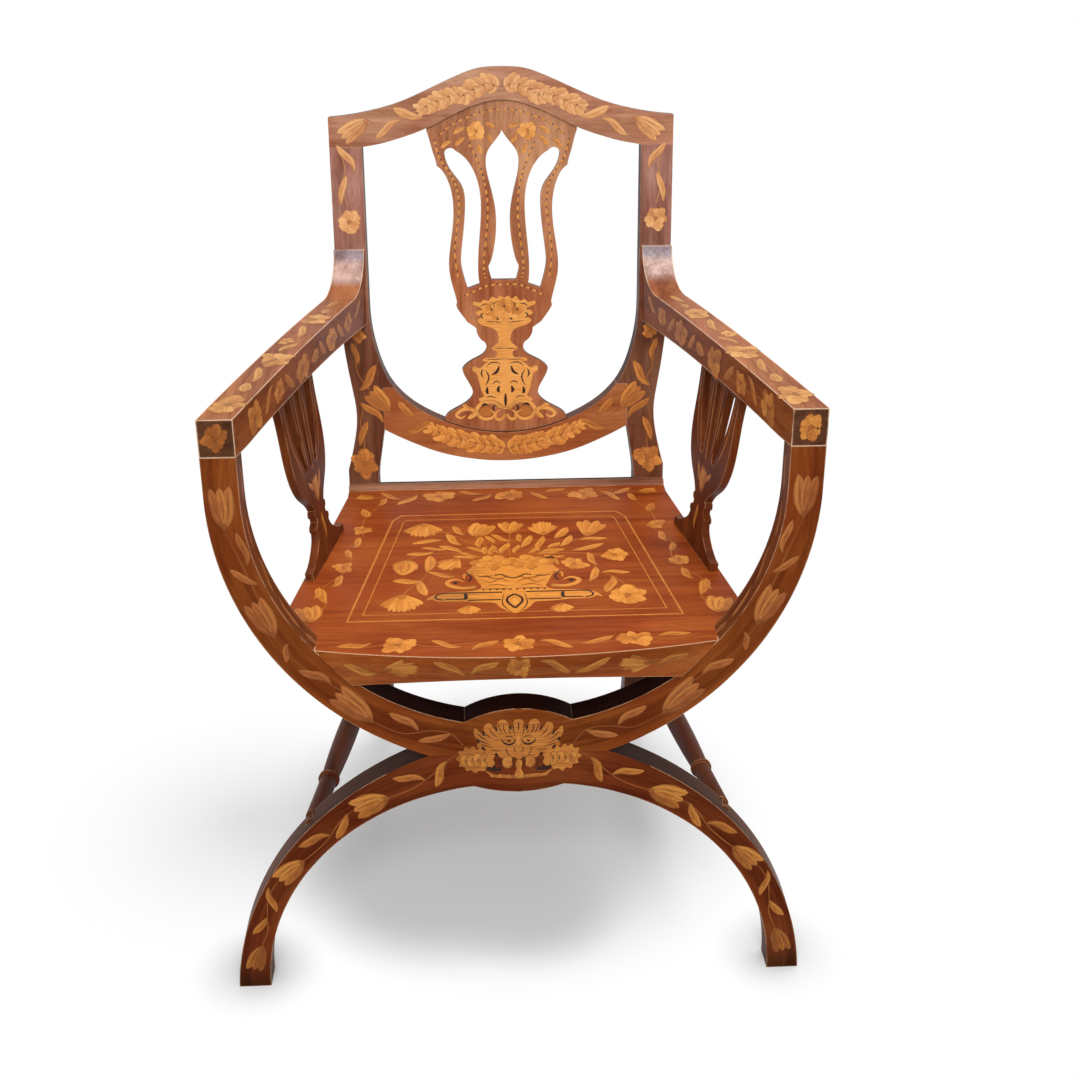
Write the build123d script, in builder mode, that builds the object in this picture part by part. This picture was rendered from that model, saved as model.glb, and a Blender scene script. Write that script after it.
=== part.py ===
from build123d import *
from math import cos, radians, sin, sqrt, tan
import os

# Marquetry armchair on a curule (X) front frame, in millimetres.
# +Z is up, the sitter faces -Y, the chair is symmetrical about X = 0, and the origin
# is on the floor under the middle of its box. Each right-hand piece stands at +X.

# ---- overall -----------------------------------------------------------------------
overall_depth = 590.0  # front of the bowed seat to the backs of the rear feet
seat_height = 460.0
crest_height = 1010.0  # floor to the top of the crest

# ---- front frame: curved posts over curved legs --------------------------------------
frame_half_width = 320.5  # widest, at the height of the post curve's centre
frame_thickness = 32.0
post_width = 37.0  # where the post is upright
post_centre_height = 638.0
post_outer_radius = 338.0
post_inner_radius = 280.0
foot_half_spread = 338.0
foot_width = 38.0
leg_outer_radius = 369.0
leg_outer_drop = 24.0  # centre of the leg's outer curve, below the floor
leg_inner_radius = 279.0
leg_inner_rise = 1.0
cusp_half_spacing = 60.0  # dips on each side of the boss
boss_top_radius = 121.0
boss_foot_half_spacing = 51.0
boss_foot_radius = 149.0
frame_dowel_radius = 5.0
frame_dowel_length = 44.0
seam_dowel_rise = 29.0  # above the joint between post and leg
seam_dowel_drop = 24.0
post_dowel_offset = 56.0

# ---- seat ----------------------------------------------------------------------------
seat_thickness = 12.0
bow_depth = 25.0
seat_depth = 438.0  # front frame to the front of the back posts
seat_shoulder_half_width = 267.0  # behind the front posts
seat_rear_half_width = 215.0
seat_corner_setback = 33.0  # from the back posts to the corner of the seat's side
bead_width = 12.0  # moulding along the back of the seat
bead_height = 6.0
rail_height = 28.0
apron_arch = 13.0  # rise of the front rail's lower edge at its middle
side_rail_thickness = 20.0
side_rail_front_x = 231.0
side_rail_rear_x = 199.0
rear_rail_thickness = 18.0
rail_tenon_thickness = 10.0
rail_tenon_length = 14.0
rail_tenon_margin = 6.0
corner_block_leg = 46.0
corner_block_height = 22.0
seat_screw_inset = 14.0
seat_screw_radius = 2.0
seat_screw_head_radius = 4.2
seat_screw_head_height = 2.5
seat_screw_bite = 8.0

# ---- inlaid lines on the seat --------------------------------------------------------
line_front_half_width = 190.5
line_rear_half_width = 152.0
line_front_offset = 60.0  # from the front frame's face
line_rear_offset = 344.0
line_corner_width = 11.0
line_corner_depth = 16.0
line_width = 2.4
fine_line_inset = 15.0
fine_line_width = 1.4
line_depth = 1.2

# ---- back ----------------------------------------------------------------------------
back_rake = 5.0  # degrees
back_thickness = 26.0
back_half_width = 219.0
stile_width = 41.0
crest_rise = 97.1  # up the raked face, from its joint with the stiles to its top
crest_end_height = 37.0
crest_waist = 40.0  # depth of the crest at its middle
post_depth_at_seat = 34.0
rear_foot_depth = 34.0
rear_leg_inner_x = 175.0
rear_leg_width = 37.0
stile_tenon_width = 16.0
stile_tenon_length = 16.0
back_tenon_thickness = 10.0
shield_joint_x = 164.0
shield_joint_foot = 82.0
shield_joint_top = 140.0
shield_joint_width = 15.0
shield_tenon_length = 12.0
shield_tenon_margin = 10.0
shield_dip = 75.0  # lowest point of the opening, up the raked face
shield_depth = 40.0

# ---- back splat ----------------------------------------------------------------------
splat_half_width = 96.0  # at its top
splat_thickness = 10.0
splat_setback = 7.0
splat_tongue_half_width = 45.0
splat_tongue_length = 8.0

# ---- arms ----------------------------------------------------------------------------
arm_underside = 686.0
arm_thickness = 41.0
arm_arch = 7.0
arm_ramp_rise = 58.0  # above the arm's top
arm_ramp_radius = 52.0
arm_tip_thickness = 5.0
arm_rear_width = 39.0
arm_tenon_width = 18.0
arm_tenon_depth = 18.0
arm_tenon_length = 22.0
arm_screw_height = 14.0  # lower screw, above the arm's underside
arm_screw_spacing = 24.0
arm_screw_radius = 2.2
arm_screw_head_radius = 4.5
arm_screw_grip = 24.0

# ---- pierced splats under the arms ---------------------------------------------------
arm_splat_offset = 233.0  # its middle, from the front frame's face
arm_splat_foot_x = 228.5
arm_splat_thickness = 10.0
arm_splat_toe = 9.5  # degrees, in plan
arm_splat_lean = 7.2  # degrees, outwards
arm_splat_foot_half = 71.0
arm_splat_top_half = 72.0
arm_splat_housing = 5.1  # how far its top is let into the arm
arm_splat_slot_foot = 116.0
arm_splat_slot_margin = 26.0  # from the slots to the top
arm_splat_tenon_width = 60.0
arm_splat_tenon_thickness = 6.0
arm_splat_tenon_length = 8.0

# ---- side stretchers -----------------------------------------------------------------
stretcher_front = (237.6, 220.0)  # x and height where it leaves the front leg
stretcher_rear = (197.8, 164.0)  # x and height where it meets the rear leg
stretcher_neck_radius = 10.2
stretcher_belly_radius = 13.5
stretcher_ring_radius = 13.0
stretcher_ring_width = 8.0
stretcher_ring_bevel = 2.5
stretcher_ring_offset = 90.0
stretcher_tenon_radius = 7.0
stretcher_tenon_length = 16.0

# ---- fits ----------------------------------------------------------------------------
glue_line = 0.1  # between curved faces that are glued together
mortise_play = 0.2
mortise_end_play = 1.0
groove_play = 0.05
overcut = 30.0  # how far cutting shapes run past the wood

# ---- places that follow from the sizes above -----------------------------------------
front_y = bow_depth - overall_depth / 2
frame_middle_y = front_y + frame_thickness / 2
frame_back_y = front_y + frame_thickness
back_y = front_y + seat_depth
seat_under = seat_height - seat_thickness
rail_foot = seat_under - rail_height
tenon_foot = rail_foot + rail_tenon_margin
tenon_height = rail_height - 2 * rail_tenon_margin
post_inner_x = frame_half_width - post_width
post_outer_centre = (frame_half_width - post_outer_radius, post_centre_height)
post_inner_centre = (post_inner_x - post_inner_radius, post_centre_height)
leg_outer_centre = (
    foot_half_spread - sqrt(leg_outer_radius**2 - leg_outer_drop**2),
    -leg_outer_drop,
)
leg_inner_centre = (
    foot_half_spread - foot_width - sqrt(leg_inner_radius**2 - leg_inner_rise**2),
    leg_inner_rise,
)
foot_setback = overall_depth - bow_depth - seat_depth - rear_foot_depth
rake = radians(back_rake)
stile_inner_x = back_half_width - stile_width
stile_middle_x = back_half_width - stile_width / 2
crest_apex = (crest_height - seat_height) / cos(rake)
stile_shoulder = crest_apex - crest_rise
arm_tenon_x = frame_half_width - post_width / 2

front_plane = Plane(origin=(0, front_y, 0), x_dir=(1, 0, 0), z_dir=(0, -1, 0))
back_plane = Plane(
    origin=(0, back_y, seat_height), x_dir=(1, 0, 0), z_dir=(0, -cos(rake), sin(rake))
)


def below(centre, radius, x):
    """Point at x on the lower half of a circle."""
    return (x, centre[1] - sqrt(radius**2 - (x - centre[0]) ** 2))


def above(centre, radius, x):
    """Point at x on the upper half of a circle."""
    return (x, centre[1] + sqrt(radius**2 - (x - centre[0]) ** 2))


def inside_post(height, gap=0.0):
    """Point on the post's inner curve at a height, drawn in by a gap."""
    reach = sqrt(post_inner_radius**2 - (post_centre_height - height) ** 2)
    return (post_inner_centre[0] + reach - gap, height)


def raked(up, depth):
    """Side-view point (y, z), up the raked face of the back and behind it."""
    return (
        back_y + up * sin(rake) + depth * cos(rake),
        seat_height + up * cos(rake) - depth * sin(rake),
    )


def bar_plan(half, run=0.0):
    """Corners of the side rail in plan, its ends cut square to the chair."""
    slope = (side_rail_rear_x - side_rail_front_x) / (back_y - frame_back_y)
    x0, y0 = side_rail_front_x - slope * run, frame_back_y - run
    x1, y1 = side_rail_rear_x + slope * run, back_y + run
    return [(x0 - half, y0), (x0 + half, y0), (x1 + half, y1), (x1 - half, y1)]


def crotch_point():
    """Where the post's outer curve meets the leg's, in the notch of the X."""
    low, high = cusp_half_spacing, foot_half_spread / 2
    for _ in range(40):
        x = (low + high) / 2
        post = below(post_outer_centre, post_outer_radius, x)[1]
        leg = above(leg_outer_centre, leg_outer_radius, x)[1]
        low, high = (x, high) if leg > post else (low, x)
    return (x, post)


post_blank_top = post_centre_height + frame_half_width
crotch = crotch_point()
post_cusp = below(post_inner_centre, post_inner_radius, cusp_half_spacing)
leg_cusp = above(leg_inner_centre, leg_inner_radius, boss_foot_half_spacing)
boss_top = post_cusp[1] + boss_top_radius
boss_top -= sqrt(boss_top_radius**2 - cusp_half_spacing**2)
boss_foot = leg_cusp[1] - boss_foot_radius
boss_foot += sqrt(boss_foot_radius**2 - boss_foot_half_spacing**2)
front_tenon_x = inside_post(tenon_foot + tenon_height / 2)[0] + rail_tenon_length

# ======================================================================================
# Front frame: a post and a leg on each side, butted at the middle of the boss
# ======================================================================================
with BuildPart() as frame_dowels:
    with BuildSketch(Plane.YZ):
        with Locations(
            (frame_middle_y, crotch[1] + seam_dowel_rise),
            (frame_middle_y, crotch[1] - seam_dowel_drop),
        ):
            Circle(frame_dowel_radius)
    extrude(amount=frame_dowel_length / 2, both=True)
    with BuildSketch(Plane.XY.offset(crotch[1])):
        with Locations(
            (post_dowel_offset, frame_middle_y), (-post_dowel_offset, frame_middle_y)
        ):
            Circle(frame_dowel_radius)
    extrude(amount=frame_dowel_length / 2, both=True)

with BuildPart() as frame_dowel_holes:
    with BuildSketch(Plane.YZ):
        with Locations(
            (frame_middle_y, crotch[1] + seam_dowel_rise),
            (frame_middle_y, crotch[1] - seam_dowel_drop),
        ):
            Circle(frame_dowel_radius + glue_line)
    extrude(amount=frame_dowel_length / 2 + mortise_end_play, both=True)
    with BuildSketch(Plane.XY.offset(crotch[1])):
        with Locations((post_dowel_offset, frame_middle_y)):
            Circle(frame_dowel_radius + glue_line)
    extrude(amount=frame_dowel_length / 2 + mortise_end_play, both=True)

with BuildPart() as side_rail_mortises:
    with BuildSketch(Plane.XY.offset(tenon_foot - mortise_play)):
        with BuildLine():
            Polyline(
                *bar_plan(
                    rail_tenon_thickness / 2 + mortise_play,
                    rail_tenon_length + mortise_end_play,
                ),
                close=True,
            )
        make_face()
    extrude(amount=tenon_height + 2 * mortise_play)

with BuildPart() as front_post_right:
    with BuildSketch(front_plane):
        with BuildLine():
            Line((frame_half_width, post_blank_top), (frame_half_width, post_centre_height))
            RadiusArc((frame_half_width, post_centre_height), crotch, post_outer_radius)
            Polyline(crotch, (0, crotch[1]), (0, boss_top))
            RadiusArc((0, boss_top), post_cusp, boss_top_radius)
            RadiusArc(post_cusp, (post_inner_x, post_centre_height), -post_inner_radius)
            Polyline(
                (post_inner_x, post_centre_height),
                (post_inner_x, post_blank_top),
                (frame_half_width, post_blank_top),
            )
        make_face()
    extrude(amount=-frame_thickness)
    split(bisect_by=Plane.XY.offset(arm_underside), keep=Keep.BOTTOM)  # cut off under the arm
    with BuildSketch(Plane.XY.offset(arm_underside)):
        with Locations((arm_tenon_x, frame_middle_y)):
            Rectangle(arm_tenon_width, arm_tenon_depth)
    extrude(amount=arm_tenon_length)
    with BuildSketch(Plane.XY.offset(tenon_foot - mortise_play)):
        with Locations((0, frame_middle_y)):
            Rectangle(
                2 * (front_tenon_x + mortise_end_play),
                rail_tenon_thickness + 2 * mortise_play,
            )
    extrude(amount=tenon_height + 2 * mortise_play, mode=Mode.SUBTRACT)
    add(side_rail_mortises.part, mode=Mode.SUBTRACT)
    add(frame_dowel_holes.part, mode=Mode.SUBTRACT)

# The stretcher runs from the back of the front leg to the front of the rear leg
sabre_radius = (foot_setback**2 + rail_foot**2) / (2 * foot_setback)
sabre_drop = rail_foot - stretcher_rear[1]
stretcher_start = Vector(stretcher_front[0], frame_back_y, stretcher_front[1])
stretcher_end = Vector(
    stretcher_rear[0],
    back_y + sabre_radius - sqrt(sabre_radius**2 - sabre_drop**2),
    stretcher_rear[1],
)
stretcher_run = (stretcher_end - stretcher_start).normalized()
stretcher_length = (stretcher_end - stretcher_start).length
stretcher_base = Plane(origin=stretcher_start, z_dir=stretcher_run)

with BuildPart() as stretcher_mortises:
    with BuildSketch(
        stretcher_base.offset(-stretcher_tenon_length - mortise_end_play),
        stretcher_base.offset(stretcher_length - stretcher_tenon_length),
    ):
        Circle(stretcher_tenon_radius + glue_line)
    extrude(amount=2 * stretcher_tenon_length + mortise_end_play)

with BuildPart() as front_leg_right:
    with BuildSketch(front_plane):
        with BuildLine():
            RadiusArc(crotch, (foot_half_spread, 0), leg_outer_radius)
            Line((foot_half_spread, 0), (foot_half_spread - foot_width, 0))
            RadiusArc((foot_half_spread - foot_width, 0), leg_cusp, -leg_inner_radius)
            RadiusArc(leg_cusp, (0, boss_foot), boss_foot_radius)
            Polyline((0, boss_foot), (0, crotch[1]), crotch)
        make_face()
    extrude(amount=-frame_thickness)
    add(stretcher_mortises.part, mode=Mode.SUBTRACT)
    add(frame_dowel_holes.part, mode=Mode.SUBTRACT)

# ======================================================================================
# Seat frame
# ======================================================================================
bow_half_chord = inside_post(seat_height)[0]
apron_end = inside_post(rail_foot)[0]

# Everything outside the posts' inner curve, from the bow to the back of the posts
with BuildPart() as post_room:
    with BuildSketch(front_plane.offset(bow_depth + overcut)):
        with BuildLine():
            RadiusArc(
                inside_post(rail_foot - overcut, glue_line),
                inside_post(seat_height + overcut, glue_line),
                -post_inner_radius,
            )
            Polyline(
                inside_post(seat_height + overcut, glue_line),
                (frame_half_width, seat_height + overcut),
                (frame_half_width, rail_foot - overcut),
                inside_post(rail_foot - overcut, glue_line),
            )
        make_face()
    extrude(amount=-(bow_depth + overcut + frame_thickness))
    mirror(about=Plane.YZ)

with BuildPart() as front_rail:
    with BuildSketch(Plane.XY.offset(rail_foot)):
        with BuildLine():
            ThreePointArc(
                (-bow_half_chord, front_y), (0, front_y - bow_depth), (bow_half_chord, front_y)
            )
            Polyline(
                (bow_half_chord, front_y),
                (bow_half_chord, frame_back_y),
                (-bow_half_chord, frame_back_y),
                (-bow_half_chord, front_y),
            )
        make_face()
    extrude(amount=rail_height)
    with BuildSketch(front_plane.offset(bow_depth + overcut)):
        with BuildLine():
            ThreePointArc(
                (-apron_end, rail_foot), (0, rail_foot + apron_arch), (apron_end, rail_foot)
            )
            Line((apron_end, rail_foot), (-apron_end, rail_foot))
        make_face()
    extrude(amount=-(bow_depth + frame_thickness + 2 * overcut), mode=Mode.SUBTRACT)
    add(post_room.part, mode=Mode.SUBTRACT)
    with BuildSketch(Plane.XY.offset(tenon_foot)):
        with Locations((0, frame_middle_y)):
            Rectangle(2 * front_tenon_x, rail_tenon_thickness)
    extrude(amount=tenon_height)

with BuildPart() as side_rail_right:
    with BuildSketch(Plane.XY.offset(rail_foot)):
        with BuildLine():
            Polyline(*bar_plan(side_rail_thickness / 2), close=True)
        make_face()
    extrude(amount=rail_height)
    with BuildSketch(Plane.XY.offset(tenon_foot)):
        with BuildLine():
            Polyline(*bar_plan(rail_tenon_thickness / 2, rail_tenon_length), close=True)
        make_face()
    extrude(amount=tenon_height)

with BuildPart() as rear_rail:
    with BuildSketch(Plane.XY.offset(rail_foot)):
        with Locations((0, back_y + rear_rail_thickness / 2)):
            Rectangle(2 * rear_leg_inner_x, rear_rail_thickness)
    extrude(amount=seat_height - rail_foot)
    with BuildSketch(Plane.XY.offset(tenon_foot)):
        with Locations((0, back_y + rear_rail_thickness / 2)):
            Rectangle(2 * (rear_leg_inner_x + rail_tenon_length), rail_tenon_thickness)
    extrude(amount=tenon_height)


def block_plan(rear):
    """Corners of a glue block between a side rail and the front or rear rail."""
    inner = bar_plan(side_rail_thickness / 2)
    (x0, y0), (x1, y1) = inner[0], inner[3]
    slope = (x1 - x0) / (y1 - y0)
    if rear:
        along = (x1 - slope * corner_block_leg, y1 - corner_block_leg)
        return [(x1, y1), (x1 - corner_block_leg, y1), along]
    along = (x0 + slope * corner_block_leg, y0 + corner_block_leg)
    return [(x0, y0), along, (x0 - corner_block_leg, y0)]


front_block, rear_block = block_plan(False), block_plan(True)
seat_screw_places = [
    (front_block[0][0] - seat_screw_inset, front_block[0][1] + seat_screw_inset),
    (rear_block[0][0] - seat_screw_inset, rear_block[0][1] - seat_screw_inset),
]
block_foot = seat_under - corner_block_height

with BuildPart() as seat_screw_holes:
    with BuildSketch(Plane.XY.offset(block_foot)):
        with Locations(*seat_screw_places):
            Circle(seat_screw_head_radius + mortise_play)
    extrude(amount=seat_screw_head_height + mortise_play)
    with BuildSketch(Plane.XY.offset(block_foot)):
        with Locations(*seat_screw_places):
            Circle(seat_screw_radius + groove_play)
    extrude(amount=corner_block_height + seat_screw_bite + mortise_end_play)

with BuildPart() as seat_screws:
    with BuildSketch(Plane.XY.offset(block_foot + mortise_play)):
        with Locations(*seat_screw_places):
            Circle(seat_screw_head_radius)
    extrude(amount=seat_screw_head_height)
    with BuildSketch(Plane.XY.offset(block_foot + mortise_play)):
        with Locations(*seat_screw_places):
            Circle(seat_screw_radius)
    extrude(amount=corner_block_height + seat_screw_bite - mortise_play)
    mirror(about=Plane.YZ)

with BuildPart() as corner_block_front_right:
    with BuildSketch(Plane.XY.offset(block_foot)):
        with BuildLine():
            Polyline(*front_block, close=True)
        make_face()
    extrude(amount=corner_block_height)
    add(seat_screw_holes.part, mode=Mode.SUBTRACT)

with BuildPart() as corner_block_rear_right:
    with BuildSketch(Plane.XY.offset(block_foot)):
        with BuildLine():
            Polyline(*rear_block, close=True)
        make_face()
    extrude(amount=corner_block_height)
    add(seat_screw_holes.part, mode=Mode.SUBTRACT)

# ======================================================================================
# Pierced splats between the seat and the arms
# ======================================================================================
toe, lean = radians(arm_splat_toe), radians(arm_splat_lean)
arm_splat_along = (-sin(toe), cos(toe), 0)
arm_splat_foot = (arm_splat_foot_x, front_y + arm_splat_offset, seat_height)
arm_splat_plane = Plane(
    origin=arm_splat_foot,
    x_dir=arm_splat_along,
    z_dir=(cos(lean) * cos(toe), cos(lean) * sin(toe), -sin(lean)),
)
arm_splat_tenon_plane = Plane(origin=arm_splat_foot, x_dir=arm_splat_along, z_dir=(0, 0, 1))
arm_splat_height = (arm_underside + arm_arch - seat_height) / cos(lean) + arm_splat_housing
slot_foot, slot_top = arm_splat_slot_foot, arm_splat_height - arm_splat_slot_margin
slot_middle = (slot_foot + slot_top) / 2


def on_arm_splat(out, up):
    """Point of the arm splat's outline, its height as a share of the whole."""
    return (out, up * arm_splat_height)



with BuildPart() as arm_splat_right:
    with BuildSketch(arm_splat_plane):
        with BuildLine():
            Polyline(
                (0, -overcut),
                (arm_splat_foot_half, -overcut),
                (arm_splat_foot_half, 10),
            )
            Spline(
                (arm_splat_foot_half, 10),
                on_arm_splat(38, 0.092),
                on_arm_splat(23, 0.167),
                tangents=[(-1, 0.05), (-0.2, 1)],
            )
            ThreePointArc(
                on_arm_splat(23, 0.167), on_arm_splat(26.5, 0.186), on_arm_splat(23, 0.204)
            )
            Polyline(
                on_arm_splat(23, 0.204), on_arm_splat(17.5, 0.217), on_arm_splat(17.5, 0.2375)
            )
            ThreePointArc(
                on_arm_splat(17.5, 0.2375), on_arm_splat(22.5, 0.256), on_arm_splat(18.5, 0.279)
            )
            Spline(
                on_arm_splat(18.5, 0.279),
                on_arm_splat(46, 0.396),
                on_arm_splat(63, 0.525),
                on_arm_splat(66, 0.742),
                (arm_splat_top_half, arm_splat_height),
                tangents=[(0.5, 1), (0.15, 1)],
            )
            Line((arm_splat_top_half, arm_splat_height), (0, arm_splat_height))
            mirror(about=Plane.YZ)
        make_face()
        with BuildLine():
            ThreePointArc((-4, slot_foot + 4), (0, slot_foot), (4, slot_foot + 4))
            Polyline((4, slot_foot + 4), (9, slot_top), (-9, slot_top), (-4, slot_foot + 4))
        make_face(mode=Mode.SUBTRACT)
        with BuildLine():
            Spline((16, slot_foot + 6), (22, slot_middle), (29, slot_top))
            Line((29, slot_top), (54, slot_top))
            Spline((54, slot_top), (45, slot_middle), (26, slot_foot + 9))
            ThreePointArc((26, slot_foot + 9), (19.5, slot_foot + 2), (16, slot_foot + 6))
        side_slot = make_face(mode=Mode.PRIVATE)
        add(side_slot, mode=Mode.SUBTRACT)
        mirror(side_slot, about=Plane.YZ, mode=Mode.SUBTRACT)
    extrude(amount=arm_splat_thickness / 2, both=True)
    with BuildSketch(Plane.XY.offset(seat_height)):
        with Locations(arm_splat_foot[:2]):
            Rectangle(6 * overcut, 10 * overcut)
    extrude(amount=-2 * overcut, mode=Mode.SUBTRACT)
    with BuildSketch(arm_splat_tenon_plane):
        Rectangle(arm_splat_tenon_width, arm_splat_tenon_thickness)
    extrude(amount=-arm_splat_tenon_length)

with BuildPart() as arm_splat_mortises:
    with BuildSketch(arm_splat_tenon_plane):
        Rectangle(
            arm_splat_tenon_width + 2 * mortise_play,
            arm_splat_tenon_thickness + 2 * mortise_play,
        )
    extrude(amount=-(arm_splat_tenon_length + mortise_end_play))
    with BuildSketch(arm_splat_plane.offset(arm_splat_thickness / 2 + mortise_play)):
        with Locations((0, arm_splat_height + mortise_end_play)):
            Rectangle(
                2 * (arm_splat_top_half + mortise_play),
                2 * overcut,
                align=(Align.CENTER, Align.MAX),
            )
    extrude(amount=-(arm_splat_thickness + 2 * mortise_play))

# ======================================================================================
# Seat board, its inlaid lines and the moulding at its back
# ======================================================================================
line_outline = [
    (line_front_half_width, front_y + line_front_offset),
    (line_rear_half_width, front_y + line_rear_offset - line_corner_depth),
    (line_rear_half_width - line_corner_width, front_y + line_rear_offset),
]


def inlaid_line(inset, width, play):
    """A line of one width let into the seat, or its groove with some play."""
    left = [(-x, y) for x, y in reversed(line_outline)]
    with BuildPart() as line:
        with BuildSketch(Plane.XY.offset(seat_height - line_depth - play)):
            with BuildLine():
                Polyline(*line_outline, *left, close=True)
            face = make_face(mode=Mode.PRIVATE)
            offset(face, amount=play - inset, kind=Kind.INTERSECTION)
            offset(face, amount=-inset - width - play, kind=Kind.INTERSECTION, mode=Mode.SUBTRACT)
        extrude(amount=line_depth + play)
    return line.part


with BuildPart() as seat_inlay_line:
    add(inlaid_line(0, line_width, 0))

with BuildPart() as seat_inlay_fine_line:
    add(inlaid_line(fine_line_inset, fine_line_width, 0))

with BuildPart() as seat_board:
    with BuildSketch(Plane.XY.offset(seat_under)):
        with BuildLine():
            ThreePointArc(
                (-bow_half_chord, front_y), (0, front_y - bow_depth), (bow_half_chord, front_y)
            )
            Polyline(
                (bow_half_chord, front_y),
                (seat_shoulder_half_width, front_y),
                (seat_shoulder_half_width, frame_back_y),
                (seat_rear_half_width, back_y - seat_corner_setback),
                (seat_rear_half_width, back_y),
                (-seat_rear_half_width, back_y),
                (-seat_rear_half_width, back_y - seat_corner_setback),
                (-seat_shoulder_half_width, frame_back_y),
                (-seat_shoulder_half_width, front_y),
                (-bow_half_chord, front_y),
            )
        make_face()
    extrude(amount=seat_thickness)
    add(post_room.part, mode=Mode.SUBTRACT)
    add(inlaid_line(0, line_width, groove_play), mode=Mode.SUBTRACT)
    add(inlaid_line(fine_line_inset, fine_line_width, groove_play), mode=Mode.SUBTRACT)
    for cutter in (arm_splat_mortises, seat_screw_holes):
        add(cutter.part, mode=Mode.SUBTRACT)
        add(mirror(cutter.part, about=Plane.YZ, mode=Mode.PRIVATE), mode=Mode.SUBTRACT)

with BuildPart() as seat_bead:
    with BuildSketch(Plane.YZ.offset(-seat_rear_half_width)):
        with BuildLine():
            Polyline(
                (back_y - bead_width, seat_height),
                (back_y, seat_height),
                (back_y, seat_height + bead_height),
                (back_y - bead_width + bead_height, seat_height + bead_height),
            )
            RadiusArc(
                (back_y - bead_width + bead_height, seat_height + bead_height),
                (back_y - bead_width, seat_height),
                -bead_height,
            )
        make_face()
    extrude(amount=2 * seat_rear_half_width)

# ======================================================================================
# Back: two posts that run down into sabre legs, crest, shield rail and splat
# ======================================================================================
shield_turn = (0.6, 0.8)  # run of the shield's curve where rail and post meet
shield_joint_inner_x = shield_joint_x - shield_joint_width
rear_leg_foot_t = -seat_height - overcut
tenon_plane = back_plane.offset((back_tenon_thickness - back_thickness) / 2)
crest_joint = Plane(
    origin=(0, *raked(stile_shoulder, back_thickness / 2)),
    x_dir=(1, 0, 0),
    z_dir=(0, sin(rake), cos(rake)),
)
arm_screw_up = (arm_underside + arm_screw_height - seat_height) / cos(rake)
arm_screw_places = [
    (stile_middle_x, arm_screw_up),
    (stile_middle_x, arm_screw_up + arm_screw_spacing),
]
arm_screw_head_depth = arm_screw_head_radius - arm_screw_radius


def arm_screw_shape(play):
    """The screws through a back post into its arm, or their holes."""
    with BuildPart() as shape:
        with BuildSketch(back_plane.offset(-back_thickness)):
            with Locations(*arm_screw_places):
                Circle(arm_screw_head_radius + play)
        extrude(amount=arm_screw_head_depth + play, taper=45)
        with BuildSketch(back_plane.offset(-back_thickness)):
            with Locations(*arm_screw_places):
                Circle(arm_screw_radius + play)
        extrude(amount=back_thickness + arm_screw_grip + 10 * play)
    return shape.part


with BuildPart() as shield_mortise:
    with BuildSketch(tenon_plane.offset(mortise_play)):
        with Locations(
            (
                shield_joint_x + (shield_tenon_length + mortise_end_play) / 2,
                (shield_joint_foot + shield_joint_top) / 2,
            )
        ):
            Rectangle(
                shield_tenon_length + mortise_end_play,
                shield_joint_top - shield_joint_foot - 2 * shield_tenon_margin + 2 * mortise_play,
            )
    extrude(amount=-(back_tenon_thickness + 2 * mortise_play))

with BuildPart() as rear_post_blank:
    with BuildSketch(Plane.YZ):
        with BuildLine():
            RadiusArc((back_y + foot_setback, 0), (back_y, rail_foot), sabre_radius)
            Polyline(
                (back_y, rail_foot),
                (back_y, seat_height),
                raked(stile_shoulder, 0),
                raked(stile_shoulder, back_thickness),
                raked(shield_joint_foot, back_thickness),
                (back_y + post_depth_at_seat, seat_height),
                (back_y + post_depth_at_seat, rail_foot),
            )
            sweep_back = foot_setback + rear_foot_depth - post_depth_at_seat
            RadiusArc(
                (back_y + post_depth_at_seat, rail_foot),
                (back_y + foot_setback + rear_foot_depth, 0),
                -(sweep_back**2 + rail_foot**2) / (2 * sweep_back),
            )
            Line((back_y + foot_setback + rear_foot_depth, 0), (back_y + foot_setback, 0))
        make_face()
    extrude(amount=back_half_width + overcut)
    with BuildSketch(back_plane):
        with BuildLine():
            Line((back_half_width, stile_shoulder), (back_half_width, 325))
            Spline(
                (back_half_width, 325),
                (206, 147),
                (200.5, 103),
                (205, 66),
                (seat_rear_half_width, 26),
                tangents=[(0, -1), (0.3, -1)],
            )
            Polyline(
                (seat_rear_half_width, 26),
                (seat_rear_half_width, 0),
                (rear_leg_inner_x + rear_leg_width, rear_leg_foot_t),
                (rear_leg_inner_x, rear_leg_foot_t),
                (rear_leg_inner_x, 10),
            )
            Spline(
                (rear_leg_inner_x, 10),
                (170.5, 44),
                (shield_joint_x, shield_joint_foot),
                tangents=[(-0.05, 1), (-0.2, 1)],
            )
            Polyline(
                (shield_joint_x, shield_joint_foot),
                (shield_joint_x, shield_joint_top),
                (shield_joint_inner_x, shield_joint_top),
            )
            Spline(
                (shield_joint_inner_x, shield_joint_top),
                (168.5, 183),
                (stile_inner_x, 250),
                tangents=[shield_turn, (0, 1)],
            )
            Polyline(
                (stile_inner_x, 250),
                (stile_inner_x, stile_shoulder),
                (back_half_width, stile_shoulder),
            )
        make_face()
    extrude(amount=overall_depth / 2, both=True, mode=Mode.INTERSECT)

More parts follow.
